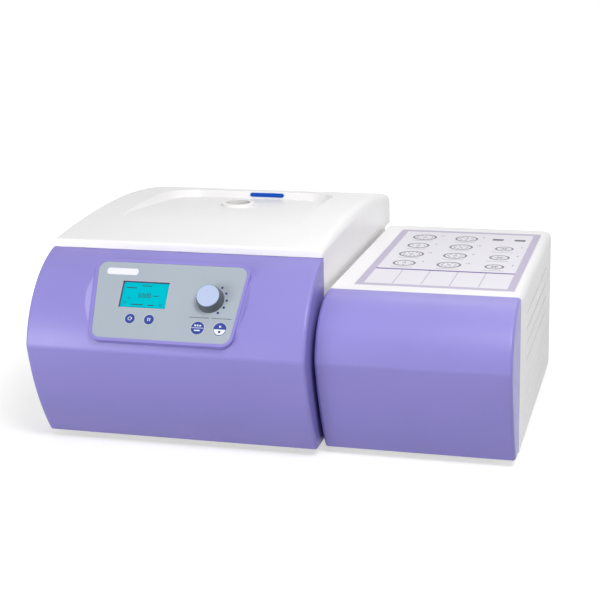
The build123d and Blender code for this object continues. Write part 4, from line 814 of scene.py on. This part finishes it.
# %% The cross recess
slot_size = (3.8, 0.75, 1.6)
slot_place = (0, 0, metres(1.7))
for slot_turn in (0, pi / 2):
    bpy.ops.mesh.primitive_cube_add(size=metres(1), location=slot_place, rotation=(0, 0, slot_turn))
    cutter = bpy.context.object
    cutter.scale = slot_size
    bpy.ops.object.transform_apply(location=True, rotation=True, scale=True)
    bpy.ops.object.select_all(action="DESELECT")
    screw.select_set(True)
    bpy.context.view_layer.objects.active = screw
    cut = screw.modifiers.new("cross", "BOOLEAN")
    cut.operation = "DIFFERENCE"
    cut.solver = "EXACT"
    cut.object = cutter
    bpy.ops.object.modifier_apply(modifier="cross")
    bpy.data.objects.remove(cutter)
bpy.ops.object.shade_smooth_by_angle(angle=radians(35))
print("faces of the screw:", len(screw.data.polygons))

# %% [markdown]
# The others are copies with their own mesh, turned a little differently, as they are on a real
# machine. The rear panels have screws near their edges, the deck has one at each corner round the
# chamber, and the lid's liner has three along each side, seen when the lid is open.

# %% Copies of the screw
screw_spin = 0.7


def screws(places, way, name, body="housing"):
    """Copy the screw to each place, with its head along a direction, and join the copies."""
    turn = Vector(way).to_track_quat("Z", "Y").to_matrix().to_4x4()
    copies = []
    for number, place in enumerate(places):
        copy = screw.copy()
        copy.data = screw.data.copy()
        bpy.context.collection.objects.link(copy)
        spin = Matrix.Rotation(screw_spin * number, 4, "Z")
        copy.matrix_world = Matrix.Translation(place) @ turn @ spin
        copies.append(copy)
    settle(copies, Matrix.Identity(4), name, zinc, body)


# %% Screws of the two rear panels
back = (0, 1, 0)
rear_low, rear_high = map(Vector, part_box("rear_panel"))
back_face = rear_high.y
edge_gap, foot_gap = 0.010, 0.008
rear_x = (rear_low.x + edge_gap, (rear_low.x + rear_high.x) / 2, rear_high.x - edge_gap)
rear_z = (rear_low.z + foot_gap, rear_high.z - edge_gap)
screws([(x, back_face, z) for x in rear_x for z in rear_z], back, "rear_panel_screws")
unit_low, unit_high = map(Vector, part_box("side_rear_panel"))
unit_side_gap, unit_foot_gap = 0.012, 0.008
unit_x = (unit_low.x + unit_side_gap, unit_high.x - unit_side_gap)
unit_z = (unit_low.z + unit_foot_gap, unit_high.z - unit_foot_gap)
screws([(x, unit_high.y, z) for x in unit_x for z in unit_z], back, "side_rear_panel_screws")

# %% Screws of the deck and of the lid's liner
deck_low, deck_high = map(Vector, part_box("chamber_deck"))
deck_side_gap, deck_front_gap, deck_back_gap = 0.022, 0.025, 0.060
deck_x = (deck_low.x + deck_side_gap, deck_high.x - deck_side_gap)
deck_y = (deck_low.y + deck_front_gap, deck_high.y - deck_back_gap)
screws([(x, y, deck_high.z) for x in deck_x for y in deck_y], (0, 0, 1), "deck_screws")
liner_low, liner_high = map(Vector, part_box("lid_liner"))
liner_side_gap, liner_end_gap = 0.015, 0.04
liner_x = (liner_low.x + liner_side_gap, liner_high.x - liner_side_gap)
liner_y = (liner_low.y + liner_end_gap, (liner_low.y + liner_high.y) / 2, liner_high.y - liner_end_gap)
screws([(x, y, liner_low.z) for x in liner_x for y in liner_y], (0, 0, -1), "liner_screws", "lid")
bpy.data.objects.remove(screw)

# %% [markdown]
# ## Turned edge of the cooling unit
# The cooling unit's sheet is turned down at the top of its back, so that no slot stays open over the
# rear panel. The turned edge is a flat strip, as thick as the panel, whose outer top corner follows
# the fold of the cabinet: a cube at the strip's size, with that one edge rounded.

# %% Turned edge over the cooling unit's rear panel
cabinet_sheet = 0.002
corner_radius = 0.0095  # half a millimetre less than the inside of the cabinet's fold
cabinet_high = Vector(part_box("side_cabinet")[1])
edge_low = Vector((unit_low.x, unit_low.y, unit_high.z))
edge_high = Vector((unit_high.x, unit_high.y, cabinet_high.z - cabinet_sheet))
edge_middle = (edge_low + edge_high) / 2
bpy.ops.mesh.primitive_cube_add(size=1, location=edge_middle, scale=edge_high - edge_low)
turned_edge = bpy.context.object
bpy.ops.object.transform_apply(location=True, rotation=True, scale=True)
pick_edges(turned_edge, lambda end: end.x > edge_middle.x and end.z > edge_middle.z)
bpy.ops.mesh.bevel(offset=corner_radius, segments=8)
bpy.ops.object.mode_set(mode="OBJECT")
settle([turned_edge], Matrix.Identity(4), "side_rear_edge", cabinet_white)
print("turned edge, size in mm:", [round(side * 1000, 1) for side in turned_edge.dimensions])

# %% [markdown]
# ## Rotor and back
# Each pocket of the rotor is numbered on the rim, so that tubes can be told apart. The figures stand
# on a circle outside the pockets, each with its foot towards the middle.

# %% Pocket numbers
rotor_pockets = 6
number_circle = 78.2
rotor_low, rotor_high = map(Vector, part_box("rotor"))
rotor_middle = (rotor_low + rotor_high) / 2
rotor_top = Matrix.Translation((rotor_middle.x, rotor_middle.y, rotor_high.z))
numbers = []
for pocket in range(rotor_pockets):
    angle = 2 * pi * pocket / rotor_pockets
    number_x = number_circle * cos(angle)
    number_y = number_circle * sin(angle)
    numbers.append(figures(str(pocket + 1), number_x, number_y, size=5.0, turn=angle - pi / 2))
settle(numbers, rotor_top, "pocket_numbers", ink_white, "rotor_drive")

# %% [markdown]
# The back carries a rating plate, which stays empty but for a fine border. The mains switch has a
# plain 1 above it and a 0 below it. Both lie in a frame that faces backwards, with its X to the left
# of the machine, so that the figures read the right way from behind.

# %% Rating plate and switch marks
back_turn = Matrix.Rotation(pi, 4, "Z") @ Matrix.Rotation(pi / 2, 4, "X")
rating_height = 0.150
rating_thick = 0.4
rating_frame = Matrix.Translation((0.0, back_face, rating_height)) @ back_turn
rating_plate = strip(0, 0, 78, 44, corner=3, thick=rating_thick)
settle([rating_plate], rating_frame, "rating_plate", zinc)
rating_face = rating_frame @ Matrix.Translation((0, 0, metres(rating_thick)))
rating_line = strip(0, 0, 73, 39, corner=2, line=0.5)
settle([rating_line], rating_face, "rating_line", ink_slate)
switch_middle = middle("switch_bezel")
mark_frame = Matrix.Translation((switch_middle.x, back_face, switch_middle.z)) @ back_turn
marks = [figures(text, 0, up, size=6.0) for text, up in (("1", 21.5), ("0", -21.5))]
settle(marks, mark_frame, "switch_marks", ink_slate)
